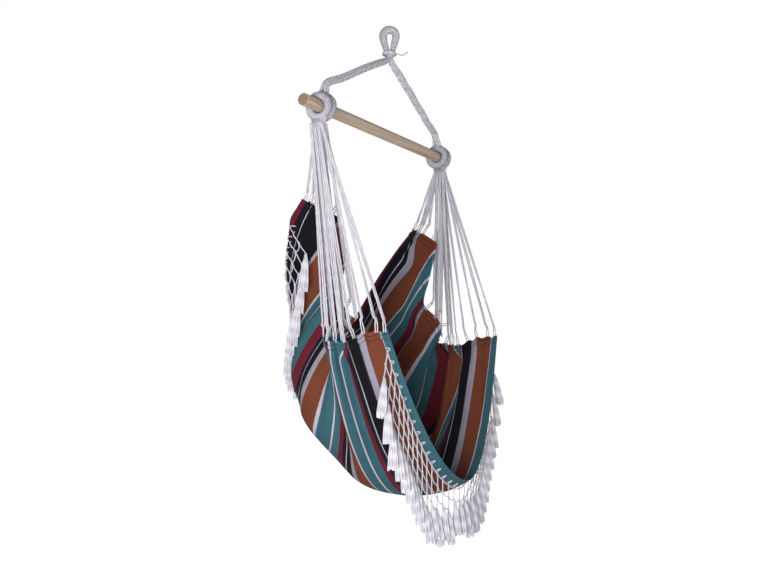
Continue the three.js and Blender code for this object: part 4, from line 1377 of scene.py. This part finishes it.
for name, side in SIDES.items():
    eyelets, strings = Bundle(), Bundle()
    bunch = np.array([ring_x(side, True), 0, 0])
    for number, share in enumerate(string_shares, 1):
        loop = eyelet_line(side, share)
        eyelets.tube(smooth_line(np.array(loop) * MM, 30), EYELET_RADIUS, sides=8)
        top, foot = string_ends(name, number)
        top[:2] = bunch[:2] + (top[:2] - bunch[:2]) * TOP_SPREAD
        head = np.array(loop[4]) * MM
        down = unit(foot - top)
        flat = unit(np.array([0.0, 1.0, 0.0]) - down * down[1])
        through = unit(np.cross(down, unit(loop[5] - loop[3])))
        through = through if through @ flat >= 0 else -through
        # Down one strand, round through the eyelet and up the other
        loosest = 2.7 + 1.5 * ((number * 7) % 5) / 4
        left, right = [], []
        for t in np.linspace(0, 1, 14):
            base = lerp(top - down * 12 * MM, foot - down * 8 * MM, t)
            width = lerp(2.45, loosest, smoothstep(t, 0.3, 1.0)) * MM
            way = unit(lerp(flat, through, smoothstep(t, 0.3, 0.97)))
            bow = 1.0 * MM * math.sin(math.pi * t) * math.sin(number * 2.3)
            left.append(base + way * (width + bow * 0.5))
            right.append(base - way * (width - bow * 0.5))
        bend = [
            head + through * 4.0 * MM - down * 5 * MM,
            head + through * 3.2 * MM + down * 1.5 * MM,
            head + down * 5.0 * MM,
            head - through * 3.2 * MM + down * 1.5 * MM,
            head - through * 4.0 * MM - down * 5 * MM,
        ]
        strings.tube(
            smooth_line(left + bend + right[::-1], 230),
            lambda share, angle, length: CORD_RADIUS
            * (1 + 0.07 * np.cos(3 * angle + length * 2 * np.pi / CORD_LAY)),
            sides=10,
        )
    made = eyelets.piece(f"eyelet_loops_{name}", seat_cord)
    settle(made, "seat", "seat_cord", f"hem_cord_{name}")
    made = strings.piece(f"doubled_strings_{name}", seat_cord)
    settle(made, "seat", "seat_cord", *[f"string_{name}_{n:02d}" for n in range(1, STRING_COUNT + 1)])

# %% [markdown]
# ## Net fringes
# The fringe is knotted by hand: cords come down from the seam, every crossing is a knot, and each cord's
# ends hang below the last knot as a tassel. It is laid out flat, as a way along the seam and a depth
# below it, and then hung. The cords between knots are slack, so each one bows a little. The back net
# falls round the cloth's corners and lies on its outer face there.

# %% Hanging a net on its seam
NET_ROWS = [2, 3, 4, 4, 4, 4, 4, 4, 4, 3, 3, 2, 2, 1, 1]
NET_ROWS = NET_ROWS + NET_ROWS[::-1]
ROW_HEIGHT, TASSEL_LENGTH = 38, 104  # lengths and depths of the nets are in millimetres
SEAM_SHARE, NET_INSET = 0.042, 0.94
SEAM_STATIONS = 385
LEAN_CELLS, DRAPE_CELLS = 6, 8  # how many cells from a corner the net leans in and is draped
DRAPE_DEPTH = 90  # at which the drape is full
SKIN_NEAR, SKIN_CLEAR = 14, 5  # how near the cloth has to be, and how far off it the net then lies

# Places on the outer back part of one side of the cloth, which the draped net may not pass
skin_along, skin_share = np.meshgrid(np.linspace(0.5, 1, 60), np.linspace(0.5, 0.955, 80), indexing="ij")
SKIN = cloth_place(skin_along, skin_share).reshape(-1, 3)


class Seam:
    """The line that a net hangs from, in millimetres, and the way that it hangs."""

    def __init__(self, share, outward, corner_lean, drape):
        along = np.linspace(-NET_INSET, NET_INSET, SEAM_STATIONS)
        shares = np.full_like(along, share)
        self.points = smooth_cloth(along, shares) - cloth_normal(along, shares) * 2.5
        steps = np.linalg.norm(np.diff(self.points, axis=0), axis=1)
        self.lengths = np.concatenate([[0], np.cumsum(steps)])
        self.total = self.lengths[-1]
        self.cell = self.total / len(NET_ROWS)
        self.outward, self.corner_lean = outward, corner_lean
        self.deepest = max(NET_ROWS) * ROW_HEIGHT + TASSEL_LENGTH
        self.drape = drape

    def hang(self, way, depth, out=2.2):
        """Place in millimetres. out is how far in front of the net's back it lies."""
        way, depth, out = np.broadcast_arrays(np.asarray(way, float), depth, out)
        point = np.stack([np.interp(way, self.lengths, self.points[:, k]) for k in range(3)], -1)
        from_corner = np.minimum(way, self.total - way) / (LEAN_CELLS * self.cell)
        lean = self.corner_lean * np.maximum(0, 1 - from_corner) ** 2
        point[..., 0] += np.sign(point[..., 0]) * lean * depth / self.deepest
        point[..., 1] += self.outward * out
        point[..., 2] -= 2.6 + depth
        if self.drape:
            # Near its corners the net falls round the edge, and lies on the cloth's outer face
            corner = smoothstep(1 - from_corner * LEAN_CELLS / DRAPE_CELLS, 0, 1)
            corner = corner * smoothstep(depth, 0, DRAPE_DEPTH)
            side = np.sign(point[..., 0])
            point[..., 1] -= self.drape * corner
            to_skin = np.hypot(point[..., 1, None] - SKIN[:, 1], point[..., 2, None] - SKIN[:, 2])
            nearest = to_skin.argmin(-1)
            beside = np.take_along_axis(to_skin, nearest[..., None], -1)[..., 0] < SKIN_NEAR
            off_skin = np.abs(SKIN[nearest, 0]) + SKIN_CLEAR + out
            clear = np.where(beside & (corner > 0.02), off_skin, 0)
            point[..., 0] = side * np.maximum(np.abs(point[..., 0]), clear)
        return point


def depth_rows(k):
    before = NET_ROWS[k - 1] if k > 0 else 0
    after = NET_ROWS[k] if k < len(NET_ROWS) else 0
    return max(before, after)


def lumpy(radius, seed):
    return lambda share, angle, length: radius * (
        1 + 0.1 * np.cos(2 * angle + length * 600) + 0.08 * np.sin(length * 90 + seed)
    )


# A knot's height and width, as shares of its size
KNOT_PROFILE = [(-1.0, 0.3), (-0.75, 0.75), (-0.35, 1.0), (0.0, 0.86), (0.35, 1.0), (0.75, 0.7), (1.0, 0.3)]


def add_knot(bundle, centre, size):
    """An overhand knot: a small ball with a waist, tied a little askew."""
    tilt = random.uniform(-0.5, 0.5)
    axis = np.array([math.sin(tilt), 0.0, math.cos(tilt)])
    line = [centre + axis * at * size * 1.15 for at, _ in KNOT_PROFILE]
    bundle.tube(line, [wide * size for _, wide in KNOT_PROFILE], sides=10)


# %% Tassels
THREADS = 26
GOLDEN_ANGLE = 2.399  # spreads any number of threads evenly over a round bunch
TASSEL_DROPS = np.array([0.0, 0.1, 0.25, 0.43, 0.62, 0.81, 1.0])
TASSEL_WIDTHS = np.array([2.4, 4.6, 8.2, 11.0, 13.2, 14.8, 15.6])


def add_tassel(bundle, seam, k, knot_depth):
    """Threads tied at a neck. They fall in a slowly widening bunch and end unevenly."""
    way = k * seam.cell
    add_knot(bundle, seam.hang(way, knot_depth + 3, 4.9) * MM, 3.6 * MM)
    sway = random.uniform(-5, 5)
    full = random.uniform(0.92, 1.12)
    for thread in range(THREADS):
        turn = GOLDEN_ANGLE * thread
        spread = math.sqrt((thread + 0.5) / THREADS) * full
        ends = TASSEL_LENGTH + random.uniform(-7, 6)
        curl = random.uniform(0, 6.28)
        line = []
        for drop, wide in zip(TASSEL_DROPS, TASSEL_WIDTHS):
            reach = spread * wide
            place = seam.hang(way, knot_depth + 2 + drop * ends, 5.0 + 8.0 * drop)
            wave = 1.3 * drop * np.array([math.sin(9 * drop + curl), 0.5 * math.cos(7 * drop + curl), 0])
            sideways = reach * math.cos(turn) + sway * drop**2
            place = place + np.array([sideways, 0.8 * reach * math.sin(turn), 0])
            line.append(place + wave)
        bundle.tube(
            smooth_line(np.array(line) * MM, 12),
            lambda share, angle, length: 2.5 * MM * (0.8 + 0.35 * share - 0.25 * share**8),
            sides=7,
        )


# %% The two fringes
def net_fringe(name, seam, v_share, v_way):
    net, tassels = Bundle(), Bundle()
    ways = np.linspace(0, seam.total, 400)
    slack = 4 * np.abs(np.sin(np.pi * ways / seam.cell))
    net.tube(seam.hang(ways, slack, 2.4) * MM, lumpy(1.8 * MM, 1), sides=8)
    for k in range(len(NET_ROWS) + 1):
        rows = depth_rows(k)
        way = k * seam.cell
        shift = {row: random.uniform(-3.5, 3.5) for row in range(rows + 1)}
        shift[0] = 0
        for row in range(rows):
            t = np.linspace(0, 1, 7)
            bow = random.uniform(-3, 3)
            ways = way + lerp(shift[row], shift[row + 1], t) + bow * np.sin(np.pi * t)
            line = seam.hang(ways, (row + t) * ROW_HEIGHT, 2.6 + 1.2 * np.sin(np.pi * t)) * MM
            net.tube(smooth_line(line, 12), lumpy(1.9 * MM, k), sides=7)
        for row in range(1, rows + 1):
            add_knot(net, seam.hang(way + shift[row], row * ROW_HEIGHT, 3.0) * MM, 3.7 * MM)
        add_tassel(tassels, seam, k, rows * ROW_HEIGHT)
    for k, rows in enumerate(NET_ROWS):
        for row in range(1, rows + 1):
            t = np.linspace(0, 1, 7)
            slack = random.uniform(3, 8)
            ways = (k + t) * seam.cell
            line = seam.hang(ways, row * ROW_HEIGHT + slack * np.sin(np.pi * t), 2.8) * MM
            net.tube(smooth_line(line, 12), lumpy(1.7 * MM, row), sides=7)
    # Narrow V stitches hold the net. Their legs start at the header and meet nearer to the cloth's edge
    for k in range(len(NET_ROWS) + 1):
        along = np.interp(k * seam.cell, seam.lengths, np.linspace(-NET_INSET, NET_INSET, SEAM_STATIONS))
        spread = 4.5 / seam.total * 2 * NET_INSET
        alongs = along + np.array([-1, -0.62, -0.22, 0.22, 0.62, 1]) * spread
        reach = np.array([0.0, 0.5, 1.0, 1.0, 0.5, 0.0])
        shares = v_share + v_way * 0.019 * reach
        net.tube(smooth_line(on_cloth(alongs, shares, -1.6), 18), lumpy(1.6 * MM, k), sides=7)
    return net, tassels


fringes = []
for name, share, outward, lean, drape, way in (
    ("front", SEAM_SHARE, -1, 80, 0, -1),
    ("back", 1 - SEAM_SHARE, 1, 15, 46, 1),
):
    seam = Seam(share, outward, lean, drape)
    net, tassels = net_fringe(name, seam, share, way)
    net_piece = net.piece(f"{name}_knotted_net", net_cord)
    settle(net_piece, "seat", "net_cord", f"{name}_fringe")
    tassel_piece = tassels.piece(f"{name}_tassels", tassel_yarn)
    settle(tassel_piece, "seat", "net_cord", f"{name}_fringe")
    fringes += [net_piece, tassel_piece]
    print(name, "seam is", round(seam.total), "mm long, cells", round(seam.cell, 1), "mm")

# %% [markdown]
# ## Light and background
# The photograph has a plain white background and soft light that leaves the inside of the seat darker
# than its outside. Most of the light comes from one round lamp near the camera and lower than it, which
# reaches less of the inside than of the outside. A weaker and wider lamp stands in front, and the world
# adds a dim light from all round. The world is white only for rays that come from the camera, or from a
# mirror-like or a clear surface.


# %% World
WORLD_LIGHT = 0.19
world = bpy.data.worlds.new("white_studio")
bpy.context.scene.world = world
world.use_nodes = True
tree = world.node_tree
tree.nodes.clear()
light_path = node(tree, "ShaderNodeLightPath")
seen = node(
    tree,
    "ShaderNodeMath",
    {0: light_path.outputs["Is Camera Ray"], 1: light_path.outputs["Is Glossy Ray"]},
    operation="MAXIMUM",
)
seen = node(
    tree,
    "ShaderNodeMath",
    {0: seen.outputs[0], 1: light_path.outputs["Is Transmission Ray"]},
    operation="MAXIMUM",
)
strength = node(
    tree,
    "ShaderNodeMapRange",
    {"Value": seen.outputs[0], "To Min": WORLD_LIGHT, "To Max": 1.0},
)
shell = node(
    tree, "ShaderNodeBackground", {"Color": (1, 1, 1, 1), "Strength": strength.outputs[0]}
)
node(tree, "ShaderNodeOutputWorld", {"Surface": shell.outputs[0]})
bpy.context.scene.view_settings.view_transform = "Standard"
print("world light", WORLD_LIGHT)

# %% Lamps
def soft_lamp(name, place, target, size, power):
    data = bpy.data.lights.new(name, "AREA")
    data.shape, data.size, data.energy = "DISK", size, power
    lamp = bpy.data.objects.new(name, data)
    lamp.location = place
    aim = np.array(target, float) - np.array(place, float)
    heading = math.atan2(aim[0], -aim[1])
    lamp.rotation_euler = (math.atan2(math.hypot(aim[0], aim[1]), -aim[2]), 0, heading + math.pi)
    bpy.context.scene.collection.objects.link(lamp)
    return lamp


seat_middle = (0, 0, -1.0)
key = soft_lamp("key_softbox", place=(-3.3, -1.15, -1.55), target=seat_middle, size=1.4, power=125)
fill = soft_lamp("fill_softbox", place=(0.9, -3.2, 0.2), target=seat_middle, size=2.2, power=16)
print("lamps:", key.name, fill.name)

# %% Floor
FLOOR_LEVEL = -1.95
floor_mesh = bpy.data.meshes.new("studio_floor")
FLOOR_HALF = 12.0
corner_ways = ((-1, -1), (1, -1), (1, 1), (-1, 1))
floor_corners = [(x * FLOOR_HALF, y * FLOOR_HALF, FLOOR_LEVEL) for x, y in corner_ways]
floor_mesh.from_pydata(floor_corners, [], [(0, 1, 2, 3)])
floor = bpy.data.objects.new("studio_floor", floor_mesh)
bpy.context.scene.collection.objects.link(floor)
floor_paint, tree, shader = start_material("matt_floor_paint", roughness=0.9, sheen=0.0)
shader.inputs["Base Color"].default_value = linear("#e9e8ea")
light_path = node(tree, "ShaderNodeLightPath")
seen = node(
    tree,
    "ShaderNodeMath",
    {0: light_path.outputs["Is Camera Ray"], 1: light_path.outputs["Is Glossy Ray"]},
    operation="MAXIMUM",
)
# Away from the chair's shadow the floor turns as white as the background
space = node(tree, "ShaderNodeTexCoord")
ground = node(tree, "ShaderNodeMapping", {"Vector": space.outputs["Object"], "Scale": (1, 1, 0)})
distance = node(tree, "ShaderNodeVectorMath", {0: ground.outputs[0]}, operation="LENGTH")
level = node(
    tree,
    "ShaderNodeMapRange",
    {"Value": distance.outputs["Value"], "From Min": 0.3, "From Max": 1.3, "To Min": 0.42, "To Max": 1.0},
    interpolation_type="SMOOTHSTEP",
)
lift = node(tree, "ShaderNodeMath", {0: seen.outputs[0], 1: level.outputs[0]}, operation="MULTIPLY")
tree.links.new(lift.outputs[0], shader.inputs["Emission Strength"])
shader.inputs["Emission Color"].default_value = (1, 1, 1, 1)
floor_mesh.materials.append(floor_paint)
print("floor at", FLOOR_LEVEL, "m")
